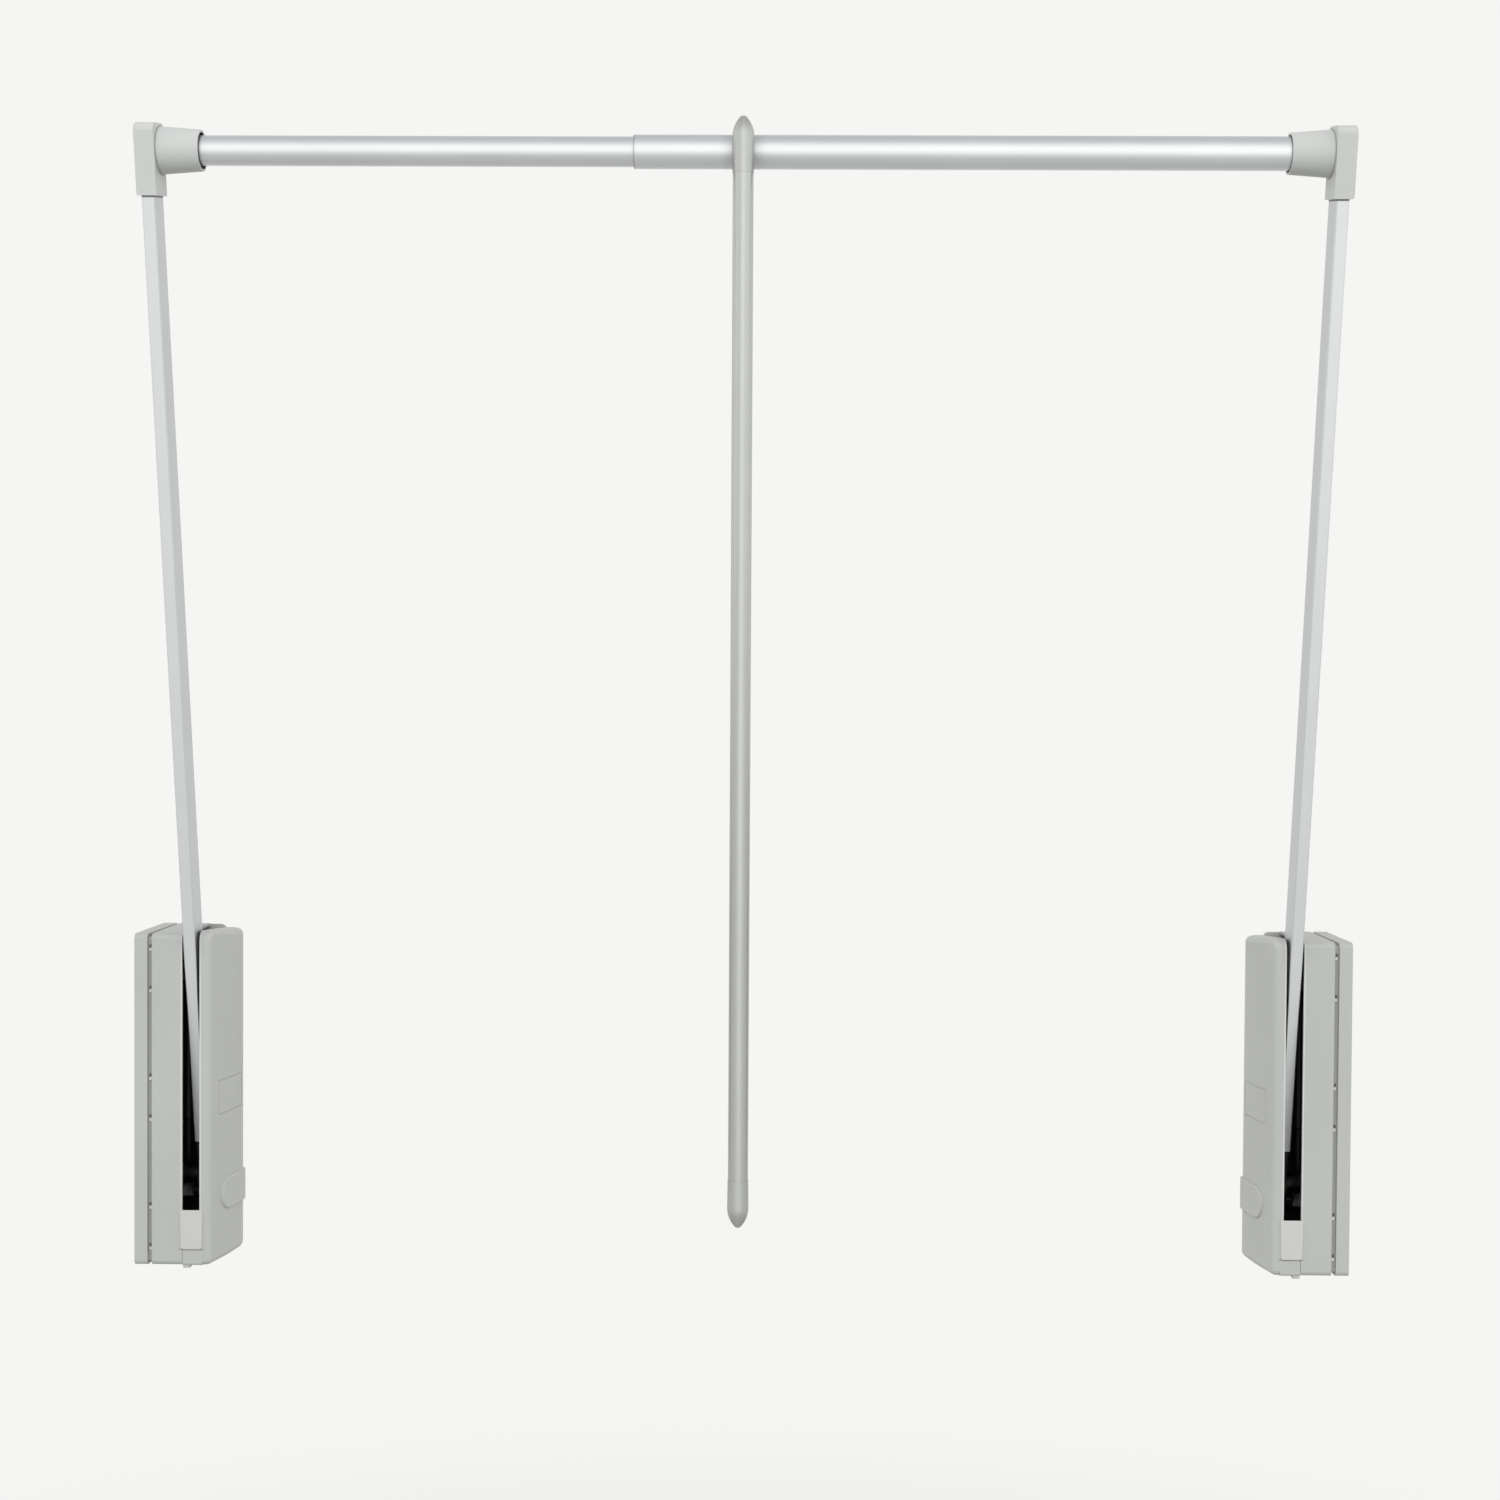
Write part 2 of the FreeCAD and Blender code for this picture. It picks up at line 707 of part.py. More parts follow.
def stop_bumpers():
    """Rubber wedges on the back web, which meet the crank's flank at both ends of its swing."""
    flank_turn = math.asin((lever_hub - crank_tip) / crank_length)
    flank_slope = math.tan(math.radians(-crank_angle) - flank_turn)
    flank_angle = math.radians(-crank_angle) - flank_turn + math.pi / 2
    touch_y = lever_hub * math.cos(flank_angle)
    touch_z = lever_hub * math.sin(flank_angle) + bumper_gap / math.cos(flank_angle - math.pi / 2)

    def flank(offset):
        return touch_z + (offset - touch_y) * flank_slope

    far = web_y - pivot_y
    outline = (
        (bumper_start, flank(bumper_start)),
        (far, flank(far)),
        (far, flank(far) + bumper_height),
        (bumper_start + bumper_ramp, flank(bumper_start) + bumper_height),
        (bumper_start, flank(bumper_start) + bumper_nose),
    )
    x0 = lever_left - bumper_side
    x1 = lever_right + bumper_side
    upper = plate_x([(pivot_y + y, pivot_z + z) for y, z in outline], x0, x1)
    lower = plate_x([(pivot_y + y, pivot_z - z) for y, z in outline], x0, x1)
    return Part.makeCompound([upper, lower])


# ---- Arm and connector ----


def arm_block(inset, z0, z1):
    return box(
        arm_left + inset,
        arm_right - inset,
        pivot_y - arm_depth / 2 + inset,
        pivot_y + arm_depth / 2 - inset,
        z0,
        z1,
    )


def arm():
    low = pivot_z + arm_start
    high = rail_z + arm_past_rail
    z_axis = FreeCAD.Vector(0, 0, 1)
    bar = rounded(arm_block(0, low, high), arm_corner, lambda edge: runs_along(edge, z_axis))
    bar = bar.cut(arm_block(arm_wall, low - spare, high + spare))
    for height in rivet_heights:
        bar = bar.cut(rod_x(0, cover_x, pivot_y, pivot_z + height, rivet_radius + fit))
    bar = bar.cut(rod_x(0, cover_x, rail_y, rail_z, connector_screw_radius + fit))
    return leaned(bar)


def arm_rivets():
    rivets = []
    for height in rivet_heights:
        z = pivot_z + height
        shank = rod_x(arm_left, arm_right, pivot_y, z, rivet_radius)
        heads = [
            rod_x(arm_left - rivet_head_height, arm_left, pivot_y, z, rivet_head),
            rod_x(arm_right, arm_right + rivet_head_height, pivot_y, z, rivet_head),
        ]
        rivets.append(leaned(shank.fuse(heads).removeSplitter()))
    return Part.makeCompound(rivets)


def corner_connector(tube_radius):
    y0 = pivot_y - connector_depth / 2
    y1 = pivot_y + connector_depth / 2
    body = box(connector_x, cone_x, y0, y1, rail_z - connector_below, rail_z + connector_above)
    body = rounded(
        body,
        connector_crown,
        lambda edge: runs_along(edge, x_axis) and middle(edge).z > rail_z,
    )
    body = body.fuse(rod_x(connector_x, cone_x, rail_y, rail_z, cone_base)).removeSplitter()
    body = rounded(body, connector_edge, lambda edge: abs(middle(edge).x - connector_x) < tolerance)
    cone = Part.makeCone(cone_base, cone_rim, cone_length)
    cone.rotate(FreeCAD.Vector(0, 0, 0), FreeCAD.Vector(0, 1, 0), 90)
    cone.translate(FreeCAD.Vector(cone_x, rail_y, rail_z))
    shape = body.fuse(cone)
    cavity = arm_block(-fit, rail_z - connector_below - spare, rail_z + arm_past_rail + fit)
    shape = shape.cut(cavity)
    shape = shape.cut(rod_x(cone_x, rim_x + spare, rail_y, rail_z, tube_radius + fit))
    shape = shape.cut(rod_x(rim_x - cone_mouth_depth, rim_x + spare, rail_y, rail_z, cone_mouth))
    shape = shape.cut(rod_x(connector_x - spare, rim_x, rail_y, rail_z, connector_screw_radius + fit))
    return leaned(shape)


def connector_screw():
    face_x = connector_x - connector_screw_head_height
    shank = rod_x(connector_x, cone_x + plug_length - plug_floor, rail_y, rail_z, connector_screw_radius)
    head = rod_x(face_x, connector_x, rail_y, rail_z, connector_screw_head)
    head = rounded(
        head,
        connector_screw_head_height * softness,
        lambda edge: abs(middle(edge).x - face_x) < tolerance,
    )
    return leaned(shank.fuse(head))


def tube_plug(tube_bore):
    plug = rod_x(cone_x, cone_x + plug_length, rail_y, rail_z, tube_bore - fit)
    return leaned(plug.cut(rod_x(cone_x - spare, rim_x, rail_y, rail_z, connector_screw_radius + fit)))


# ---- Rail ----

mouth_x = span / 2 - mouth_left_of_middle
inner_end_x = mouth_x + overlap
inner_bore = inner_tube_radius - inner_tube_wall
outer_bore = outer_tube_radius - outer_tube_wall


def tube(x0, x1, radius, bore):
    return rod_x(x0, x1, rail.y, rail.z, radius).cut(rod_x(x0 - spare, x1 + spare, rail.y, rail.z, bore))


def inner_tube():
    return tube(cone_x, inner_end_x, inner_tube_radius, inner_bore)


def outer_tube():
    return tube(mouth_x, span - cone_x, outer_tube_radius, outer_bore)


def guide_plug():
    collar = rod_x(inner_end_x, inner_end_x + guide_length, rail.y, rail.z, outer_bore - running)
    spigot = rod_x(inner_end_x - guide_spigot, inner_end_x, rail.y, rail.z, inner_bore - fit)
    return collar.fuse(spigot).removeSplitter()


# ---- Handle ----
# Drawn upright on its own axis with the rail at z = 0, then tilted and hung on the rail.


def hung(shape):
    placed = shape.copy()
    placed.rotate(FreeCAD.Vector(0, 0, 0), x_axis, handle_tilt)
    placed.translate(FreeCAD.Vector(span / 2, rail.y - handle_forward, rail.z))
    return placed


def turned_cap(length):
    """Pointed cap that looks up, with its point at z = 0, and thins out to the rod at its foot."""
    drop = cap_radius - cap_flat
    ogive = (drop**2 + cap_nose**2) / (2 * drop)
    turn = math.asin(cap_nose / ogive) / 2
    half_way = (cap_radius - ogive * (1 - math.cos(turn)), ogive * math.sin(turn) - cap_nose)
    places = ((0, 0), (cap_flat, 0), half_way, (cap_radius, -cap_nose))
    tip, flat, bend, shoulder = [FreeCAD.Vector(x, 0, z) for x, z in places]
    waist = FreeCAD.Vector(cap_radius, 0, cap_flare - length)
    rim = FreeCAD.Vector(cap_rim, 0, -length)
    foot = FreeCAD.Vector(0, 0, -length)
    sides = [Part.makeLine(a, b) for a, b in ((shoulder, waist), (waist, rim), (rim, foot), (foot, tip))]
    nose = [Part.makeLine(tip, flat), Part.Arc(flat, bend, shoulder).toShape()]
    return Part.Face(Part.Wire(nose + sides)).revolve(tip, FreeCAD.Vector(0, 0, 1), 360)


rod_top = handle_above - cap_nose
tip_z = handle_above - handle_length
rod_low = tip_z + cap_nose


def handle_head():
    cap = turned_cap(head_length)
    cap.translate(FreeCAD.Vector(0, 0, handle_above))
    hollow = rod_z(0, 0, handle_above - head_length - spare, rod_top, handle_radius + fit)
    ring_radius = outer_tube_radius + running + ring_wall
    ring = rod_x(-ring_width / 2, ring_width / 2, handle_forward, 0, ring_radius)
    half = math.radians(ring_mouth / 2)
    reach = 3 * ring_radius
    mouth = plate_x(
        (
            (handle_forward, 0),
            (handle_forward + reach * math.cos(half), reach * math.sin(half)),
            (handle_forward + reach * math.cos(half), -reach * math.sin(half)),
        ),
        -ring_width,
        ring_width,
    )
    bore = rod_x(-ring_width, ring_width, handle_forward, 0, outer_tube_radius + running)
    clip = ring.cut(mouth)
    placed_bore = bore.copy()
    placed_bore.translate(FreeCAD.Vector(span / 2, rail.y - handle_forward, rail.z))
    placed_clip = clip.copy()
    placed_clip.translate(FreeCAD.Vector(span / 2, rail.y - handle_forward, rail.z))
    return hung(cap).fuse(placed_clip).cut(hung(hollow)).cut(placed_bore).removeSplitter()


def handle_rod():
    outer = rod_z(0, 0, rod_low, rod_top, handle_radius)
    return hung(outer.cut(rod_z(0, 0, rod_low - spare, rod_top + spare, handle_radius - handle_wall)))


def handle_tip():
    cap = turned_cap(tip_length)
    cap.rotate(FreeCAD.Vector(0, 0, 0), x_axis, 180)
    cap.translate(FreeCAD.Vector(0, 0, tip_z))
    hollow = rod_z(0, 0, rod_low, tip_z + tip_length + spare, handle_radius + fit)
    return hung(cap.cut(hollow))


# ---- Parts ----

side_parts = {
    "wall_plate": wall_plate,
    "body_shell": body_shell,
    "inner_cover": inner_cover,
    "slot_clip": slot_clip,
    "chassis": chassis,
    "chassis_screws": chassis_screws,
    "pivot_axle": pivot_axle,
    "pivot_sleeve": pivot_sleeve,
    "pivot_bush": pivot_bush,
    "lever": lever,
    "crank_pin": crank_pin,
    "roller": roller,
    "crosshead": crosshead,
    "gas_spring_rod": gas_spring_rod,
    "gas_spring_cylinder": gas_spring_cylinder,
    "gas_spring_nut": gas_spring_nut,
    "stop_bumpers": stop_bumpers,
    "arm": arm,
    "arm_rivets": arm_rivets,
    "connector_screw": connector_screw,
}

rail_parts = {
    "inner_tube": inner_tube,
    "outer_tube": outer_tube,
    "guide_plug": guide_plug,
    "handle_head": handle_head,
    "handle_rod": handle_rod,
    "handle_tip": handle_tip,
}


def mirrored(shape):
    return shape.mirror(FreeCAD.Vector(span / 2, 0, 0), x_axis)


def save(shape, name):
    shape.exportStep("parts/" + name + ".step")


os.makedirs("parts", exist_ok=True)
for name, make in side_parts.items():
    shape = make()
    save(shape, "left_" + name)
    save(mirrored(shape), "right_" + name)
for name, make in rail_parts.items():
    save(make(), name)
save(corner_connector(inner_tube_radius), "left_corner_connector")
save(mirrored(corner_connector(outer_tube_radius)), "right_corner_connector")
save(tube_plug(inner_bore), "left_tube_plug")
save(mirrored(tube_plug(outer_bore)), "right_tube_plug")
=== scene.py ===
import json
import math
import bmesh
import bpy
from mathutils import Matrix, Vector


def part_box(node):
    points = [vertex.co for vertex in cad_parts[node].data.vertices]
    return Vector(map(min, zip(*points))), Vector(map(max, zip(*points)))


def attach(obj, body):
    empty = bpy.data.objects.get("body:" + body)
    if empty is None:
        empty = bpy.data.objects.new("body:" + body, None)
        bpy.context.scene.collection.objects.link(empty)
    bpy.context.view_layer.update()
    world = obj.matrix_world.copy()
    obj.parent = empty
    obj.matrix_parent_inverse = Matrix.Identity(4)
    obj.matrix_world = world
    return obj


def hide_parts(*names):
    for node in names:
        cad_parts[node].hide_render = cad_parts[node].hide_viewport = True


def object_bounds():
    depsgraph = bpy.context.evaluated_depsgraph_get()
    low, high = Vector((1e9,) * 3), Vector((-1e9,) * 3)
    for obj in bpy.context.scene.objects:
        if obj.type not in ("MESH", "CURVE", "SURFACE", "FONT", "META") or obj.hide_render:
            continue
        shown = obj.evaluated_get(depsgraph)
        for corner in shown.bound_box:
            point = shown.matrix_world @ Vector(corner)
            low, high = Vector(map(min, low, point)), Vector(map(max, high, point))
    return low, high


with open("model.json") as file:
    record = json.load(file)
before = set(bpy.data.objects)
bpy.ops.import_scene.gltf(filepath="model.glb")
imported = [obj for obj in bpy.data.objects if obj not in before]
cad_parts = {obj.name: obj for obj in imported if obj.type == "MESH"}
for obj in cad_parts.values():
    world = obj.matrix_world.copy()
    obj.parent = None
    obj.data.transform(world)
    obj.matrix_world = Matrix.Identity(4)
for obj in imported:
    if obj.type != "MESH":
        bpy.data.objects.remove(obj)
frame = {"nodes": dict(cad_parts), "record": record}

cadBox = [list(corner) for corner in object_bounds()]
nodes = frame["nodes"]
behaviour = frame["record"]["behaviour"]
bodyOf = {member: body for body, members in behaviour["bodies"].items() for member in members}
slotOf = {part["node"]: part["material_slot"] for part in frame["record"]["subparts"]}
joints = {joint["name"]: joint for joint in behaviour["joints"]}
sides = ("left", "right")
mm = 0.001
print("frame loaded:", len(nodes), "nodes")

# camera

camera = {
    "place": (0.47786, -1.66467, 0.30196),
    "yaw": -0.0138,  # radians, to the right
    "down": 0.0242,
    "roll": 0.0063,
    "sensor": 36.0,
    "focal": 2204.3 / 1500.0,  # in widths of the frame
    "clipEnd": 60.0,
}


def aimCamera():
    data = bpy.data.cameras.new("studioCamera")
    data.lens = camera["sensor"] * camera["focal"]
    data.sensor_width = camera["sensor"]
    data.clip_end = camera["clipEnd"]
    lookout = bpy.data.objects.new("studioCamera", data)
    bpy.context.scene.collection.objects.link(lookout)
    yaw, down, roll = camera["yaw"], camera["down"], camera["roll"]
    ahead = Vector((math.sin(yaw) * math.cos(down), math.cos(yaw) * math.cos(down), -math.sin(down)))
    level = Vector((math.cos(yaw), -math.sin(yaw), 0.0))
    upright = level.cross(ahead)
    right = math.cos(roll) * level + math.sin(roll) * upright
    up = -math.sin(roll) * level + math.cos(roll) * upright
    turn = Matrix((right, up, -ahead)).transposed()
    lookout.matrix_world = Matrix.Translation(camera["place"]) @ turn.to_4x4()
    bpy.context.scene.camera = lookout


aimCamera()

# studio

studio = {
    "floorColour": (0.52, 0.52, 0.51),  # as it lights the lift
    "floorPaint": (0.86, 0.86, 0.85),  # as it is seen
    "floorRoughness": 0.9,
    "floorShine": 0.1,
    "floorRadius": 25.0,
    "floorSides": 96,
    "floorDrop": 0.02,  # below the handle, hanging from the rail when that is pulled all the way down
    "backdrop": (0.915, 0.915, 0.900),
    "zenith": (0.47, 0.475, 0.48),
    "zenithGleam": (0.62, 0.625, 0.63),  # as it is seen in metal
    "zenithRise": (0.34, 0.90),  # heights between which the backdrop turns into the zenith
    "window": (0.12, -0.90, 0.26),  # the sky is brightest towards here
    "windowGlow": 0.74,  # and this much brighter there than the backdrop
    "windowSpread": 4.0,
    "flankGlow": 0.50,  # and this much towards both panels
    "flankStart": 0.45,  # from this far aside
    "nearFloor": 0.60,  # the floor is its own colour up to here from the middle of the lift
    "farFloor": 2.20,  # and from here on it shows the backdrop's
    "floorLift": 0.55,  # share of the backdrop that the near floor shows
    "floorGleam": 0.26,  # and that it shows in metal, from straight above
    "flatGleam": (0.75, 0.20),  # and all of it where metal sees it flatter than this
    "keyPlace": (0.25, -2.20, 1.55),
    "keyAim": (0.45, 0.0, 0.25),
    "keySize": (1.1, 0.8),
    "keyPower": 15.0,
}


def node(tree, kind, **settings):
    made = tree.nodes.new(kind)
    for name, value in settings.items():
        setattr(made, name, value)
    return made


def wire(tree, source, output, target, socket):
    tree.links.new(source.outputs[output], target.inputs[socket])


def blendColours(tree, source, output, colours, span=(0.35, 0.65)):
    ramp = node(tree, "ShaderNodeValToRGB")
    ramp.color_ramp.elements[0].position, ramp.color_ramp.elements[1].position = span
    ramp.color_ramp.elements[0].color = (*colours[0], 1.0)
    ramp.color_ramp.elements[1].color = (*colours[1], 1.0)
    wire(tree, source, output, ramp, "Fac")
    return ramp


def softLamp(name):
    data = bpy.data.lights.new(name + "Lamp", "AREA")
    data.shape = "RECTANGLE"
    data.size, data.size_y = studio[name + "Size"]
    data.energy = studio[name + "Power"]
    lamp = bpy.data.objects.new(name + "Lamp", data)
    bpy.context.scene.collection.objects.link(lamp)
    lamp.location = studio[name + "Place"]
    sight = Vector(studio[name + "Aim"]) - lamp.location
    lamp.rotation_euler = sight.to_track_quat("-Z", "Y").to_euler()
    lamp.visible_glossy = False  # the metal shows only the sky's soft window


def joinMath(tree, kind, first, firstOut, second, secondOut=None):
    # the second is a plain number unless its output is given
    joined = node(tree, "ShaderNodeMath", operation=kind)
    wire(tree, first, firstOut, joined, 0)
    if secondOut is None:
        joined.inputs[1].default_value = second
    else:
        wire(tree, second, secondOut, joined, 1)
    return joined


def softStep(tree, source, output, start, end, low=0.0, high=1.0):
    step = node(tree, "ShaderNodeMapRange", interpolation_type="SMOOTHSTEP")
    step.inputs["From Min"].default_value = start
    step.inputs["From Max"].default_value = end
    step.inputs["To Min"].default_value = low
    step.inputs["To Max"].default_value = high
    wire(tree, source, output, step, "Value")
    return step


def mixColours(tree, **settings):
    # the share, both colours and the result of a new mix
    mix = node(tree, "ShaderNodeMix", data_type="RGBA", **settings)
    return mix.inputs[0], mix.inputs[6], mix.inputs[7], mix.outputs[2]


def windowLight(tree, source, output):
    # how much brighter than the backdrop it is in a direction
    window = node(tree, "ShaderNodeVectorMath", operation="DOT_PRODUCT")
    window.inputs[1].default_value = Vector(studio["window"]).normalized()
    wire(tree, source, output, window, 0)
    glow = joinMath(tree, "MAXIMUM", window, "Value", 0.0)
    glow = joinMath(tree, "POWER", glow, "Value", studio["windowSpread"])
    return joinMath(tree, "MULTIPLY", glow, "Value", studio["windowGlow"])


def buildSky():
    world = bpy.data.worlds.new("studioSky")
    bpy.context.scene.world = world
    world.use_nodes = True
    tree = world.node_tree
    tree.nodes.clear()
    place = node(tree, "ShaderNodeTexCoord")
    split = node(tree, "ShaderNodeSeparateXYZ")
    wire(tree, place, "Generated", split, "Vector")
    rays = node(tree, "ShaderNodeLightPath")
    colours = (studio["zenith"], studio["zenithGleam"])
    above = blendColours(tree, rays, "Is Glossy Ray", colours, (0.0, 1.0))
    rise = node(tree, "ShaderNodeMapRange")
    rise.inputs["From Min"].default_value, rise.inputs["From Max"].default_value = studio["zenithRise"]
    wire(tree, split, "Z", rise, "Value")
    share, below, top, blended = mixColours(tree)
    below.default_value = (*studio["backdrop"], 1.0)
    tree.links.new(rise.outputs["Result"], share)
    tree.links.new(above.outputs["Color"], top)
    glow = windowLight(tree, place, "Generated")
    aside = joinMath(tree, "ABSOLUTE", split, "X", 0.0)
    flank = softStep(tree, aside, "Value", studio["flankStart"], 1.0, high=studio["flankGlow"])
    glow = joinMath(tree, "ADD", glow, "Value", flank, "Result")
    unseen = joinMath(tree, "SUBTRACT", rays, "Is Camera Ray", 1.0)
    unseen = joinMath(tree, "MULTIPLY", unseen, "Value", -1.0)
    glow = joinMath(tree, "MULTIPLY", glow, "Value", unseen, "Value")
    glow = joinMath(tree, "ADD", glow, "Value", 1.0)
    sky = node(tree, "ShaderNodeBackground")
    out = node(tree, "ShaderNodeOutputWorld")
    tree.links.new(blended, sky.inputs["Color"])
    wire(tree, glow, "Value", sky, "Strength")
    wire(tree, sky, "Background", out, "Surface")


def floorFinish(middle):
    # seen directly or in metal it runs into the backdrop, and near the lift it keeps the shadow
    paint = bpy.data.materials.new("paleFloor")
    paint.use_nodes = True
    tree = paint.node_tree
    skin = tree.nodes["Principled BSDF"]
    skin.inputs["Roughness"].default_value = studio["floorRoughness"]
    skin.inputs["Specular IOR Level"].default_value = studio["floorShine"]
    rays = node(tree, "ShaderNodeLightPath")
    colours = (studio["floorColour"], studio["floorPaint"])
    paints = blendColours(tree, rays, "Is Camera Ray", colours, (0.0, 1.0))
    wire(tree, paints, "Color", skin, "Base Color")
    place = node(tree, "ShaderNodeTexCoord")
    away = node(tree, "ShaderNodeVectorMath", operation="DISTANCE")
    away.inputs[1].default_value = middle
    wire(tree, place, "Object", away, 0)
    fade = softStep(tree, away, "Value", studio["nearFloor"], studio["farFloor"])
    direct = joinMath(tree, "MAXIMUM", fade, "Result", studio["floorLift"])
    direct = joinMath(tree, "MULTIPLY", direct, "Value", rays, "Is Camera Ray")
    here = node(tree, "ShaderNodeNewGeometry")
    onward = node(tree, "ShaderNodeVectorMath", operation="SCALE")
    onward.inputs["Scale"].default_value = -1.0
    wire(tree, here, "Incoming", onward, 0)
    slope = node(tree, "ShaderNodeSeparateXYZ")
    wire(tree, here, "Incoming", slope, "Vector")
    flat = softStep(tree, slope, "Z", *studio["flatGleam"], low=studio["floorGleam"])
    mirrored = joinMath(tree, "MAXIMUM", rays, "Is Glossy Ray", rays, "Is Transmission Ray")
    mirrored = joinMath(tree, "MULTIPLY", flat, "Result", mirrored, "Value")
    share = joinMath(tree, "MAXIMUM", direct, "Value", mirrored, "Value")
    bright = windowLight(tree, onward, "Vector")
    bright = joinMath(tree, "MULTIPLY", bright, "Value", rays, "Is Glossy Ray")
    bright = joinMath(tree, "ADD", bright, "Value", 1.0)
    glow = node(tree, "ShaderNodeEmission")
    glow.inputs["Color"].default_value = (*studio["backdrop"], 1.0)
    wire(tree, bright, "Value", glow, "Strength")
    mix = node(tree, "ShaderNodeMixShader")
    wire(tree, share, "Value", mix, 0)
    wire(tree, skin, "BSDF", mix, 1)
    wire(tree, glow, "Emission", mix, 2)
    wire(tree, mix, "Shader", tree.nodes["Material Output"], "Surface")
    return paint


def loweredReach():
    # height of the hanging handle's tip with the rail pulled all the way down
    pivot = Vector(joints["lift"]["pos_m"])
    rail = Vector(joints["handle_swing"]["pos_m"])
    hanging = rail.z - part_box("handle_tip")[0].z
    arm = Vector((rail.y - pivot.y, rail.z - pivot.z))
    turn = math.radians(joints["lift"]["range_deg"][1])
    return pivot.z + arm.length * math.cos(math.atan2(-arm.x, arm.y) + turn) - hanging


def buildStudio():
    low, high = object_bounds()
    middle = ((low.x + high.x) / 2, (low.y + high.y) / 2, loweredReach() - studio["floorDrop"])
    mesh = bpy.data.meshes.new("studioFloor")
    bm = bmesh.new()
    bmesh.ops.create_circle(bm, cap_ends=True, segments=studio["floorSides"], radius=studio["floorRadius"])
    bmesh.ops.translate(bm, verts=bm.verts, vec=middle)
    bm.to_mesh(mesh)
    bm.free()
    floor = bpy.data.objects.new("studioFloor", mesh)
    bpy.context.scene.collection.objects.link(floor)
    floor.data.materials.append(floorFinish(middle))
    buildSky()
    softLamp("key")
    bpy.context.scene.view_settings.view_transform = "Standard"


buildStudio()
print("studio ready")

# finishes


def newFinish(name):
    finish = bpy.data.materials.new(name)
    finish.use_nodes = True
    tree = finish.node_tree
    return finish, tree, tree.nodes["Principled BSDF"]


def objectPlace(tree, scale=(1.0, 1.0, 1.0)):
    place = node(tree, "ShaderNodeTexCoord")
    spread = node(tree, "ShaderNodeMapping")
    spread.inputs["Scale"].default_value = scale
    wire(tree, place, "Object", spread, "Vector")
    return spread


def noise(tree, place, scale, detail=2.0, rough=0.5):
    cloud = node(tree, "ShaderNodeTexNoise")
    cloud.inputs["Scale"].default_value = scale
    cloud.inputs["Detail"].default_value = detail
    cloud.inputs["Roughness"].default_value = rough
    wire(tree, place, "Vector", cloud, "Vector")
    return cloud


def rescale(tree, source, output, low, high):
    fit = node(tree, "ShaderNodeMapRange")
    fit.inputs["To Min"].default_value = low
    fit.inputs["To Max"].default_value = high
    wire(tree, source, output, fit, "Value")
    return fit


def addBump(tree, skin, source, output, strength, depth):
    bump = node(tree, "ShaderNodeBump")
    bump.inputs["Strength"].default_value = strength
    bump.inputs["Distance"].default_value = depth
    wire(tree, source, output, bump, "Height")
    wire(tree, bump, "Normal", skin, "Normal")


def shade(colour, factor):
    return tuple(channel * factor for channel in colour)


def driftingColour(tree, skin, source, colour, darker, lighter):
    tone = blendColours(tree, source, "Fac", (shade(colour, darker), shade(colour, lighter)))
    wire(tree, tone, "Color", skin, "Base Color")


def unevenGloss(tree, skin, source, roughness, smoother, rougher):
    gloss = rescale(tree, source, "Fac", roughness - smoother, roughness + rougher)
    wire(tree, gloss, "Result", skin, "Roughness")


def mouldedPlastic(name, colour, roughness=0.48, grain=0.25, metal=0.0):
    # spark-eroded mould skin: a fine even grain, and a slow drift of colour where the melt flowed
    grainSize, grainDepth = 0.45 * mm, 0.05 * mm
    flowSize, patchSize = 90 * mm, 14 * mm
    drift, uneven, shine = 0.02, 0.06, 0.45
    finish, tree, skin = newFinish(name)
    place = objectPlace(tree)
    cloud = noise(tree, place, 1 / flowSize, 3.0)
    fine = noise(tree, place, 1 / grainSize, 2.0, 0.6)
    driftingColour(tree, skin, cloud, colour, 1 - drift, 1 + drift)
    patch = noise(tree, place, 1 / patchSize, 4.0)
    unevenGloss(tree, skin, patch, roughness, uneven, uneven)
    addBump(tree, skin, fine, "Fac", grain, grainDepth)
    skin.inputs["Specular IOR Level"].default_value = shine
    skin.inputs["Metallic"].default_value = metal
    return finish


def tint(tree, source, output, factor):
    # multiplies what feeds the base colour by a factor, as far as the source says
    skin = tree.nodes["Principled BSDF"]
    clean = skin.inputs["Base Color"].links[0].from_socket
    share, plain, multiplier, result = mixColours(tree, blend_type="MULTIPLY")
    tree.links.new(source.outputs[output], share)
    tree.links.new(clean, plain)
    multiplier.default_value = (factor, factor, factor, 1.0)
    tree.links.new(result, skin.inputs["Base Color"])


def paintFlankShade(finish, factor):
    # painted shade: darker where the surface faces the panels
    tree = finish.node_tree
    facing = node(tree, "ShaderNodeTexCoord")
    split = node(tree, "ShaderNodeSeparateXYZ")
    wire(tree, facing, "Normal", split, "Vector")
    tint(tree, joinMath(tree, "ABSOLUTE", split, "X", 0.0), "Value", factor)
    return finish


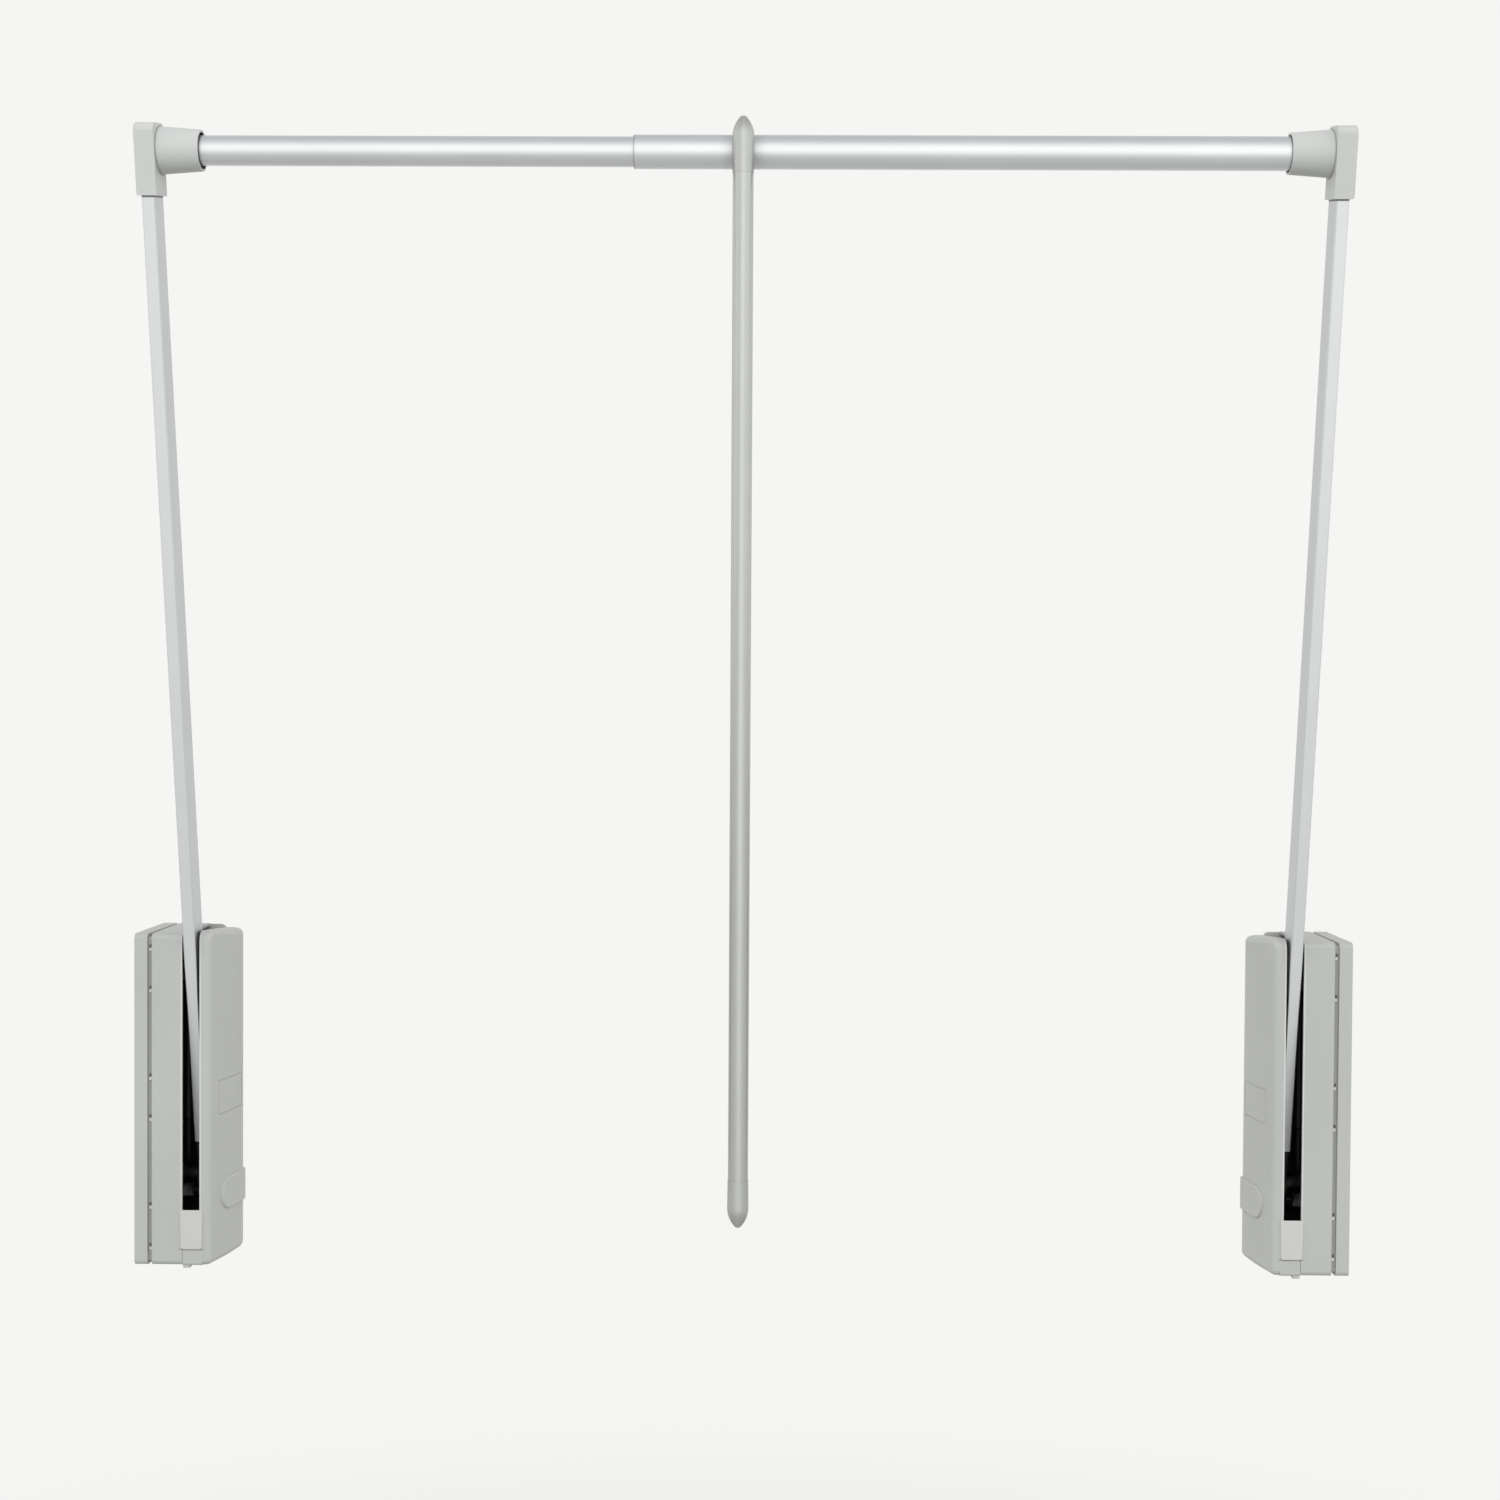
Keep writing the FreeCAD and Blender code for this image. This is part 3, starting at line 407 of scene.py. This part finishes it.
def paintShadeAndLightInBox(finish, low, high, factor, soft=0.3, bothSides=True, lean=0.0):
    # painted shade inside a box, and a painted highlight where the factor is above one; the left one of a
    # pair unless it stands alone, that leans about the pivot
    tree = finish.node_tree
    place = node(tree, "ShaderNodeTexCoord")
    split = node(tree, "ShaderNodeSeparateXYZ")
    wire(tree, place, "Object", split, "Vector")
    across = joinMath(tree, "SUBTRACT", split, "X", connector["middle"])
    if bothSides:
        across = joinMath(tree, "ABSOLUTE", across, "Value", 0.0)
        across = joinMath(tree, "MULTIPLY", across, "Value", -1.0)
    across = joinMath(tree, "ADD", across, "Value", connector["middle"])
    join = node(tree, "ShaderNodeCombineXYZ")
    wire(tree, across, "Value", join, "X")
    wire(tree, split, "Y", join, "Y")
    wire(tree, split, "Z", join, "Z")
    upright = node(tree, "ShaderNodeVectorRotate", rotation_type="X_AXIS")
    upright.inputs["Center"].default_value = lift["pivot"]
    upright.inputs["Angle"].default_value = -lean
    wire(tree, join, "Vector", upright, "Vector")
    off = node(tree, "ShaderNodeVectorMath", operation="SUBTRACT")
    off.inputs[1].default_value = [(a + b) / 2 for a, b in zip(low, high)]
    wire(tree, upright, "Vector", off, 0)
    size = node(tree, "ShaderNodeVectorMath", operation="ABSOLUTE")
    wire(tree, off, "Vector", size, 0)
    part = node(tree, "ShaderNodeVectorMath", operation="DIVIDE")
    part.inputs[1].default_value = [(b - a) / 2 for a, b in zip(low, high)]
    wire(tree, size, "Vector", part, 0)
    parts = node(tree, "ShaderNodeSeparateXYZ")
    wire(tree, part, "Vector", parts, "Vector")
    most = joinMath(tree, "MAXIMUM", parts, "X", parts, "Y")
    most = joinMath(tree, "MAXIMUM", most, "Value", parts, "Z")
    tint(tree, softStep(tree, most, "Value", 1 + soft, 1 - soft), "Result", factor)


def aroundRail(tree):
    # distance from the rail's axis, and from the middle between the panels
    low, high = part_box("inner_tube")
    place = node(tree, "ShaderNodeTexCoord")
    shift = node(tree, "ShaderNodeVectorMath", operation="SUBTRACT")
    shift.inputs[1].default_value = (connector["middle"], (low.y + high.y) / 2, (low.z + high.z) / 2)
    wire(tree, place, "Object", shift, 0)
    across = node(tree, "ShaderNodeVectorMath", operation="MULTIPLY")
    across.inputs[1].default_value = (0.0, 1.0, 1.0)
    wire(tree, shift, "Vector", across, 0)
    radius = node(tree, "ShaderNodeVectorMath", operation="LENGTH")
    wire(tree, across, "Vector", radius, 0)
    split = node(tree, "ShaderNodeSeparateXYZ")
    wire(tree, shift, "Vector", split, "Vector")
    return radius, joinMath(tree, "ABSOLUTE", split, "X", 0.0)


def connectorPlastic(name, colour):
    # painted shade in the socket round the tube and a painted shadow in the valley at the cone's foot
    finish = mouldedPlastic(name, colour)
    tree = finish.node_tree
    radius, away = aroundRail(tree)
    footAway = connector["middle"] - connector["foot"]
    start, end = connector["socketDust"]
    inside = softStep(tree, radius, "Value", *connector["mouthEdge"])
    socket = softStep(tree, away, "Value", footAway - start, footAway - end)
    inside = joinMath(tree, "MULTIPLY", inside, "Result", socket, "Result")
    drop = joinMath(tree, "SUBTRACT", away, "Value", footAway)
    drop = joinMath(tree, "ABSOLUTE", drop, "Value", 0.0)
    valley = softStep(tree, drop, "Value", *connector["valleyWidth"])
    off = joinMath(tree, "SUBTRACT", radius, "Value", connector["footRadius"])
    off = joinMath(tree, "ABSOLUTE", off, "Value", 0.0)
    ring = softStep(tree, off, "Value", *connector["valleyHeight"])
    valley = joinMath(tree, "MULTIPLY", valley, "Result", ring, "Result")
    valley = joinMath(tree, "MULTIPLY", valley, "Value", connector["valleyShade"])
    dark = joinMath(tree, "MAXIMUM", inside, "Value", valley, "Value")
    tint(tree, dark, "Value", connector["paintedShade"])
    return finish


def extrudedAluminium(name, colour, along):
    # anodised over fine die lines that run along the profile
    roughness, uneven = 0.42, 0.04
    lineSize, lineDepth, lineStrength, lineStretch = 0.4 * mm, 0.02 * mm, 0.05, 0.004
    cloudSize, darker, lighter = 60 * mm, 0.985, 1.01
    finish, tree, skin = newFinish(name)
    stretch = [1.0, 1.0, 1.0]
    stretch["XYZ".index(along)] = lineStretch
    lines = noise(tree, objectPlace(tree, stretch), 1 / lineSize, 3.0, 0.6)
    cloud = noise(tree, objectPlace(tree), 1 / cloudSize, 3.0)
    driftingColour(tree, skin, cloud, colour, darker, lighter)
    unevenGloss(tree, skin, lines, roughness, uneven, uneven)
    addBump(tree, skin, lines, "Fac", lineStrength, lineDepth)
    skin.inputs["Metallic"].default_value = 1.0
    return finish


def coatedSteel(name, colour, roughness=0.42, peel=0.15, shine=0.5, drift=0.1, metal=0.0):
    # baked coating with a slight orange peel
    peelSize, peelDepth, uneven = 0.8 * mm, 0.03 * mm, 0.05
    cloudSize = 40 * mm
    finish, tree, skin = newFinish(name)
    place = objectPlace(tree)
    peelCloud = noise(tree, place, 1 / peelSize, 2.0)
    cloud = noise(tree, place, 1 / cloudSize, 3.0)
    driftingColour(tree, skin, cloud, colour, 1 - drift, 1 + drift)
    unevenGloss(tree, skin, peelCloud, roughness, uneven, uneven)
    addBump(tree, skin, peelCloud, "Fac", peel, peelDepth)
    skin.inputs["Specular IOR Level"].default_value = shine
    skin.inputs["Metallic"].default_value = metal
    return finish


def platedSteel(name, colour):
    # zinc over turned steel
    crystalSize, crystalSpan, spangle = 0.9 * mm, (0.1, 0.8), 0.1
    cloudSize, cloudDepth, cloudStrength = 4 * mm, 0.04 * mm, 0.08
    roughness, smoother, rougher = 0.3, 0.08, 0.1
    finish, tree, skin = newFinish(name)
    place = objectPlace(tree)
    crystals = node(tree, "ShaderNodeTexVoronoi")
    crystals.inputs["Scale"].default_value = 1 / crystalSize
    wire(tree, place, "Vector", crystals, "Vector")
    tones = (shade(colour, 1 + spangle), shade(colour, 1 - spangle))
    wire(tree, blendColours(tree, crystals, "Distance", tones, crystalSpan), "Color", skin, "Base Color")
    cloud = noise(tree, place, 1 / cloudSize, 3.0)
    unevenGloss(tree, skin, cloud, roughness, smoother, rougher)
    addBump(tree, skin, cloud, "Fac", cloudStrength, cloudDepth)
    skin.inputs["Metallic"].default_value = 1.0
    return finish


def moulding(name, colour, roughness, grainSize, grain):
    # nylon, rubber and the black moulded blocks
    cloudSize, drift, grainDepth = 12 * mm, 0.08, 0.06 * mm
    smoother, rougher = 0.06, 0.08
    finish, tree, skin = newFinish(name)
    place = objectPlace(tree)
    fine = noise(tree, place, 1 / grainSize, 3.0, 0.6)
    cloud = noise(tree, place, 1 / cloudSize, 2.0)
    driftingColour(tree, skin, cloud, colour, 1 - drift, 1 + drift)
    unevenGloss(tree, skin, fine, roughness, smoother, rougher)
    addBump(tree, skin, fine, "Fac", grain, grainDepth)
    return finish


lift = {
    "pivot": joints["lift"]["pos_m"],
    "lean": math.radians(11.4),  # of the raised arms
    "slab": 722.6 * mm,  # from the pivot to the connector's lower end, along the arm
    "slot": 13.0 * mm,  # width of the housing's slot
}

coneLength = 28.4 * mm
connector = {
    "middle": sum(end[0] for end in cadBox) / 2,
    "foot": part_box("left_corner_connector")[1].x - coneLength,  # where the left cone starts
    "footRadius": 16.1 * mm,
    "mouthEdge": (12.65 * mm, 12.45 * mm),  # radii at which the painted shade in the socket fades in
    "socketDust": (12 * mm, 14 * mm),  # and how far from the cone's foot
    "valleyWidth": (0.9 * mm, 0.2 * mm),
    "valleyHeight": (1.2 * mm, 0.4 * mm),
    # depth of the valley's painted shadow, and the factor of all the connector's painted shade
    "valleyShade": 0.45,
    "paintedShade": 0.12,
}

finishes = {
    "housing_grey": mouldedPlastic("housingGrey", (0.496, 0.508, 0.494)),
    "clip_white": mouldedPlastic("clipWhite", (0.600, 0.600, 0.590)),
    "connector_grey": connectorPlastic("connectorGrey", (0.574, 0.590, 0.578)),
    # painted shade on the arms' faces turned to the panels
    "anodised_aluminium": paintFlankShade(extrudedAluminium("armAluminium", (0.670, 0.682, 0.698), "Z"), 0.84),
    "tube_aluminium": extrudedAluminium("innerTubeAluminium", (0.755, 0.765, 0.780), "X"),
    # the outer tube's own, under its node's name
    "outer_tube": extrudedAluminium("outerTubeAluminium", (0.755, 0.765, 0.780), "X"),
    "black_steel": coatedSteel("blackSheet", (0.018, 0.019, 0.020), 0.50, shine=0.30),
    "cylinder_black": coatedSteel("blackGloss", (0.010, 0.010, 0.011), 0.30, 0.06, shine=0.3),
    "piston_black": coatedSteel("pistonBlack", (0.012, 0.012, 0.013), 0.30, 0.04, shine=0.3),
    "zinc_steel": platedSteel("zincPlate", (0.62, 0.63, 0.65)),
    "nylon": moulding("greyNylon", (0.50, 0.51, 0.50), 0.5, 0.5 * mm, 0.15),
    "black_plastic": moulding("blackMoulding", (0.02, 0.02, 0.022), 0.5, 0.4 * mm, 0.25),
    "rubber_black": moulding("stopRubber", (0.016, 0.016, 0.016), 0.8, 0.8 * mm, 0.35),
    # painted shade on the flanks of the handle, so that its middle looks lit
    "handle_grey": paintFlankShade(
        mouldedPlastic("handleCapGrey", (0.490, 0.500, 0.485), 0.30, 0.06, metal=0.7), 0.78
    ),
    "handle_metal": paintFlankShade(
        coatedSteel("handleCoat", (0.490, 0.500, 0.485), 0.22, 0.04, drift=0.01, metal=0.8), 0.78
    ),
}

plateLow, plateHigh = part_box("left_wall_plate")
shellLow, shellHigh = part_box("left_body_shell")
clipLow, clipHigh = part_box("left_slot_clip")
armLow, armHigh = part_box("left_arm")
tubeLow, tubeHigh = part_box("outer_tube")
headLow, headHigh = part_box("handle_head")

# painted shade in the groove, under the clip, where one part leaves another and on the pivot's parts,
# and a painted highlight along the slot's edges
shades = {
    "groove": 3.1 * mm,
    "grooveDepth": 8.0 * mm,
    "grooveShade": 0.78,
    "grooveSoft": 0.1,
    "lip": 0.9 * mm,
    "lipDepth": 3.0 * mm,
    "lipShade": 0.55,
    "mouthShade": 0.62,
    "socketGap": 1.2 * mm,
    "socketShade": 0.25,
    "besideHandle": 5.0 * mm,
    "besideShade": 0.88,
    "besideSoft": 0.35,
    # width, depth, reach and gain of the painted highlight along the slot's edges
    "edgeHighlight": 1.0 * mm,
    "edgeHighlightDepth": 2.5 * mm,
    "edgeHighlightTop": 4.0 * mm,  # below the housing's top
    "edgeHighlightShine": 1.35,
    "edgeHighlightSoft": 0.4,
    # reach and factor of the painted shade on the pivot's parts, deep in the slot
    "pivotShadeReach": 17.0 * mm,
    "pivotShadeFactor": 0.15,
    "over": 9.0 * mm,  # beyond the piece, where the box need not end
    "armOver": 27.0 * mm,
    "edge": 0.25 * mm,
}

lip, over, edge = shades["lip"], shades["over"], shades["edge"]
slotMiddle = (armLow.x + armHigh.x) / 2
pivot = Vector(lift["pivot"])
# painted shade in the groove between wall plate and shell
paintShadeAndLightInBox(
    finishes["housing_grey"],
    (shellLow.x - shades["groove"] - edge, plateLow.y - lip, plateLow.z),
    (shellLow.x + edge, plateLow.y + shades["grooveDepth"], plateHigh.z),
    shades["grooveShade"],
    shades["grooveSoft"],
)
# painted shadow under the clip's foot
paintShadeAndLightInBox(
    finishes["housing_grey"],
    (clipLow.x, clipLow.y - lip, clipLow.z - lip),
    (clipHigh.x, clipLow.y + shades["lipDepth"], clipLow.z + edge),
    shades["lipShade"],
)
# painted highlight along both edges of the slot
for way in (-1, 1):
    brink = slotMiddle + way * (lift["slot"] + shades["edgeHighlight"]) / 2
    paintShadeAndLightInBox(
        finishes["housing_grey"],
        (brink - shades["edgeHighlight"] / 2, plateLow.y - lip, clipHigh.z),
        (brink + shades["edgeHighlight"] / 2, plateLow.y + shades["edgeHighlightDepth"], plateHigh.z - shades["edgeHighlightTop"]),
        shades["edgeHighlightShine"],
        shades["edgeHighlightSoft"],
    )
slabFoot = pivot.z + lift["slab"]
# painted shadow on the arm where it leaves the connector's slab
paintShadeAndLightInBox(
    finishes["anodised_aluminium"],
    (armLow.x - over, pivot.y - shades["armOver"], slabFoot - shades["socketGap"]),
    (armHigh.x + over, pivot.y + shades["armOver"], slabFoot + edge),
    shades["socketShade"],
    lean=lift["lean"],
)
# painted shade: a dark line at the outer tube's mouth
paintShadeAndLightInBox(
    finishes["outer_tube"],
    (tubeLow.x - lip, tubeLow.y - over, tubeLow.z - over),
    (tubeLow.x + lip, tubeHigh.y + over, tubeHigh.z + over),
    shades["mouthShade"],
    bothSides=False,
)
# painted shade and painted reflection of the handle on the outer tube beside it
paintShadeAndLightInBox(
    finishes["outer_tube"],
    (headLow.x - shades["besideHandle"], tubeLow.y - over, tubeLow.z - over),
    (headHigh.x + shades["besideHandle"], tubeHigh.y + over, tubeHigh.z + over),
    shades["besideShade"],
    shades["besideSoft"],
    bothSides=False,
)
# painted shade on the pivot's steel, nylon and black parts
pivotShadeReach = Vector((1.0, 1.0, 1.0)) * shades["pivotShadeReach"]
for name in ("zinc_steel", "nylon", "black_steel"):
    paintShadeAndLightInBox(finishes[name], pivot - pivotShadeReach, pivot + pivotShadeReach, shades["pivotShadeFactor"])


def finishOf(name):
    return finishes.get(name) or finishes[slotOf[name]]


for name, cadNode in nodes.items():
    cadNode.data.materials.clear()
    cadNode.data.materials.append(finishOf(name))
print("finishes:", len(finishes))

# pieces


def addPiece(name, mesh, cadNode):
    # shows the mesh in the finish of a CAD node's slot
    piece = bpy.data.objects.new(name, mesh)
    bpy.context.scene.collection.objects.link(piece)
    if not mesh.materials:
        mesh.materials.append(finishOf(cadNode))
    return piece


def settle(piece, cadNode, replaced=True):
    # turns live modifiers into plain mesh, then puts the piece on its body
    view = bpy.context.evaluated_depsgraph_get()
    mesh = bpy.data.meshes.new_from_object(piece.evaluated_get(view), depsgraph=view)
    piece.modifiers.clear()
    old = piece.data
    piece.data = mesh
    mesh.name = piece.name
    if old.users == 0:
        bpy.data.meshes.remove(old)
    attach(piece, bodyOf[cadNode])
    if replaced:
        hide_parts(cadNode)


softness = {
    "weld": 0.002 * mm,
    "flatAngle": math.radians(0.4),  # edges flatter than this are dissolved
    "sharpAngle": math.radians(38.0),  # and those sharper than this are rounded
    "segments": 3,
    "evenness": 80,
}


def merged(cadNode):
    # one welded skin from the node's loose triangles, with its flat faces whole again
    bm = bmesh.new()
    bm.from_mesh(nodes[cadNode].data)
    bmesh.ops.remove_doubles(bm, verts=bm.verts, dist=softness["weld"])
    bmesh.ops.dissolve_limit(
        bm,
        angle_limit=softness["flatAngle"],
        verts=bm.verts,
        edges=bm.edges,
        use_dissolve_boundaries=False,
    )
    mesh = bpy.data.meshes.new(cadNode)
    bare = bmesh.new()
    points = [bare.verts.new(v.co) for v in bm.verts]
    bm.verts.index_update()
    for face in bm.faces:
        bare.faces.new([points[v.index] for v in face.verts])
    bare.to_mesh(mesh)
    bm.free()
    bare.free()
    return mesh


def softEdged(cadNode, newName, width, cutter=None):
    # the node's own shape with its small edges rounded
    mesh = merged(cadNode)
    mesh.name = newName
    mesh.shade_smooth()
    piece = addPiece(newName, mesh, cadNode)
    if cutter:
        cut = piece.modifiers.new("cut", "BOOLEAN")
        cut.operation = "DIFFERENCE"
        cut.solver = "EXACT"
        cut.object = cutter
    bevel = piece.modifiers.new("softEdge", "BEVEL")
    bevel.width = width
    bevel.segments = softness["segments"]
    bevel.limit_method = "ANGLE"
    bevel.angle_limit = softness["sharpAngle"]
    bevel.harden_normals = True
    bevel.use_clamp_overlap = True
    even = piece.modifiers.new("evenShading", "WEIGHTED_NORMAL")
    even.weight = softness["evenness"]
    even.keep_sharp = True
    settle(piece, cadNode)


# how wide the small edges are rounded

housing = {
    "wall_plate": 0.3 * mm,
    "body_shell": 0.55 * mm,
    "inner_cover": 0.55 * mm,
    "slot_clip": 0.25 * mm,
}

swinging = {
    "corner_connector": 0.4 * mm,
    "arm": 0.35 * mm,
}

mechanism = {
    "chassis": 0.3 * mm,
    "lever": 0.4 * mm,
    "crosshead": 0.4 * mm,
    "gas_spring_nut": 0.3 * mm,
    "stop_bumpers": 0.5 * mm,
    "pivot_axle": 0.3 * mm,
    "pivot_sleeve": 0.25 * mm,
    "pivot_bush": 0.2 * mm,
    "crank_pin": 0.25 * mm,
    "roller": 0.35 * mm,
    "gas_spring_cylinder": 0.5 * mm,
    "gas_spring_rod": 0.25 * mm,
    "arm_rivets": 0.3 * mm,
    "tube_plug": 0.3 * mm,
}

for side in sides:
    for part, width in {**housing, **swinging, **mechanism}.items():
        softEdged(side + "_" + part, side + "_" + part + "_skin", width)
print("housings, connectors and mechanism dressed")

rail = {
    "inner_tube": 0.2 * mm,
    "outer_tube": 0.45 * mm,
    "handle_head": 0.08 * mm,
    "handle_rod": 0.08 * mm,
    "handle_tip": 0.08 * mm,
    "guide_plug": 0.3 * mm,
}

for part, width in rail.items():
    softEdged(part, part + "_skin", width)
print("rail and handle dressed")

# cross recess in the heads of the connector screws

recess = {
    "reach": 2.9 * mm,
    "half": 0.55 * mm,
    "depth": 1.5 * mm,
    "soft": 0.2 * mm,
}


def crossCutter(centre):
    # plus-shaped bar along x, half of it in the head
    far, near, deep = recess["reach"], recess["half"], recess["depth"]
    corner = ((far, near), (near, near), (near, far))
    ring = []
    for quarter in range(4):
        turn = Matrix.Rotation(quarter * math.pi / 2, 2)
        ring += [turn @ Vector(point) for point in corner]
    bm = bmesh.new()
    face = bm.faces.new([bm.verts.new(centre + Vector((-deep, y, z))) for y, z in ring])
    grown = bmesh.ops.extrude_face_region(bm, geom=[face])["geom"]
    ends = [part for part in grown if isinstance(part, bmesh.types.BMVert)]
    bmesh.ops.translate(bm, verts=ends, vec=(2 * deep, 0, 0))
    bmesh.ops.recalc_face_normals(bm, faces=bm.faces)
    mesh = bpy.data.meshes.new("crossCutter")
    bm.to_mesh(mesh)
    bm.free()
    cutter = bpy.data.objects.new("crossCutter", mesh)
    bpy.context.scene.collection.objects.link(cutter)
    return cutter


for side in sides:
    low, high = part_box(side + "_connector_screw")
    faceX = low.x if side == "left" else high.x
    cutter = crossCutter(Vector((faceX, (low.y + high.y) / 2, (low.z + high.z) / 2)))
    softEdged(side + "_connector_screw", side + "_connector_screw_skin", recess["soft"], cutter=cutter)
    bpy.data.objects.remove(cutter)
print("screw heads cut")

# snap hooks in the groove between wall plate and shell, and painted shade in the moulding window above
# each

hooks = {
    "groups": 3,
    "groupStep": 96.1 * mm,
    "pairStep": 30.6 * mm,
    "below": 11.7 * mm,  # first hook under the housing's top
    "behind": 1.7 * mm,  # middle of a hook behind the housing's front
    "groove": 3.1 * mm,
    "hook": (1.9 * mm, 1.3 * mm, 2.1 * mm),
    "turn": 0.35,  # radians, so that its face slants
    "white": (0.70, 0.71, 0.70),
    "roughness": 0.35,
    "window": (1.9 * mm, 0.1 * mm, 2.4 * mm),  # dark sheet, painted shade of the moulding window above each hook
    "windowRise": 2.4 * mm,
    "windowBehind": 2.42 * mm,
    "windowIn": 0.45,  # share of the groove from the shell
    "shade": (0.12, 0.12, 0.12),
}


def rowTree():
    # pairs of small blocks, hung below each other
    tree = bpy.data.node_groups.new("hookRow", "GeometryNodeTree")
    for name, kind in (
        ("Groups", "Int"),
        ("GroupStep", "Vector"),
        ("PairStep", "Vector"),
        ("Block", "Vector"),
        ("Turn", "Vector"),
        ("Finish", "Material"),
    ):
        tree.interface.new_socket(name=name, in_out="INPUT", socket_type="NodeSocket" + kind)
    tree.interface.new_socket(name="Row", in_out="OUTPUT", socket_type="NodeSocketGeometry")
    given = node(tree, "NodeGroupInput")
    groups = node(tree, "GeometryNodeMeshLine")
    pair = node(tree, "GeometryNodeMeshLine")
    pair.inputs["Count"].default_value = 2
    block = node(tree, "GeometryNodeMeshCube")
    onPair = node(tree, "GeometryNodeInstanceOnPoints")
    onGroups = node(tree, "GeometryNodeInstanceOnPoints")
    real = node(tree, "GeometryNodeRealizeInstances")
    finish = node(tree, "GeometryNodeSetMaterial")
    out = node(tree, "NodeGroupOutput")
    wire(tree, given, "Groups", groups, "Count")
    wire(tree, given, "GroupStep", groups, "Offset")
    wire(tree, given, "PairStep", pair, "Offset")
    wire(tree, given, "Block", block, "Size")
    wire(tree, given, "Turn", onPair, "Rotation")
    wire(tree, pair, "Mesh", onPair, "Points")
    wire(tree, block, "Mesh", onPair, "Instance")
    wire(tree, groups, "Mesh", onGroups, "Points")
    wire(tree, onPair, "Instances", onGroups, "Instance")
    wire(tree, onGroups, "Instances", real, "Geometry")
    wire(tree, real, "Geometry", finish, "Geometry")
    wire(tree, given, "Finish", finish, "Material")
    wire(tree, finish, "Geometry", out, "Row")
    return tree


def grow(name, tree, place, **values):
    # runs the tree on a bare mesh and keeps the plain result
    stub = bpy.data.objects.new(name + "Stub", bpy.data.meshes.new(name + "Stub"))
    bpy.context.scene.collection.objects.link(stub)
    maker = stub.modifiers.new("grow", "NODES")
    maker.node_group = tree
    for item in tree.interface.items_tree:
        if item.in_out == "INPUT":
            maker[item.identifier] = values[item.name]
    view = bpy.context.evaluated_depsgraph_get()
    mesh = bpy.data.meshes.new_from_object(stub.evaluated_get(view), depsgraph=view)
    mesh.name = name
    mesh.transform(Matrix.Translation(place))
    stub.modifiers.clear()
    bpy.data.objects.remove(stub)
    return mesh


hookRow = rowTree()
steps = {
    "Groups": hooks["groups"],
    "GroupStep": (0.0, 0.0, -hooks["groupStep"]),
    "PairStep": (0.0, 0.0, -hooks["pairStep"]),
}
hookWhite = mouldedPlastic("hookWhite", hooks["white"], hooks["roughness"])
windowShadeFinish = mouldedPlastic("windowShadeFinish", hooks["shade"])
for side in sides:
    plateLow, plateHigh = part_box(side + "_wall_plate")
    shellLow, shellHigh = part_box(side + "_body_shell")
    inward = 1 if side == "left" else -1
    shellEdge = shellLow.x if side == "left" else shellHigh.x
    hookX = shellEdge - inward * hooks["hook"][0] / 2
    windowX = shellEdge - inward * hooks["groove"] * hooks["windowIn"]
    top = plateHigh.z - hooks["below"]
    mesh = grow(
        side + "_snap_hooks",
        hookRow,
        (hookX, plateLow.y + hooks["behind"], top),
        Block=hooks["hook"],
        Turn=(0.0, 0.0, -inward * hooks["turn"]),
        Finish=hookWhite,
        **steps,
    )
    settle(addPiece(side + "_snap_hooks", mesh, side + "_slot_clip"), side + "_wall_plate", False)
    # a dark sheet above each hook: painted shade of its moulding window
    mesh = grow(
        side + "_snap_window_shade",
        hookRow,
        (windowX, plateLow.y + hooks["windowBehind"], top + hooks["windowRise"]),
        Block=hooks["window"],
        Turn=(0.0, 0.0, 0.0),
        Finish=windowShadeFinish,
        **steps,
    )
    settle(addPiece(side + "_snap_window_shade", mesh, side + "_crosshead"), side + "_wall_plate", False)
print("snap hooks in place")
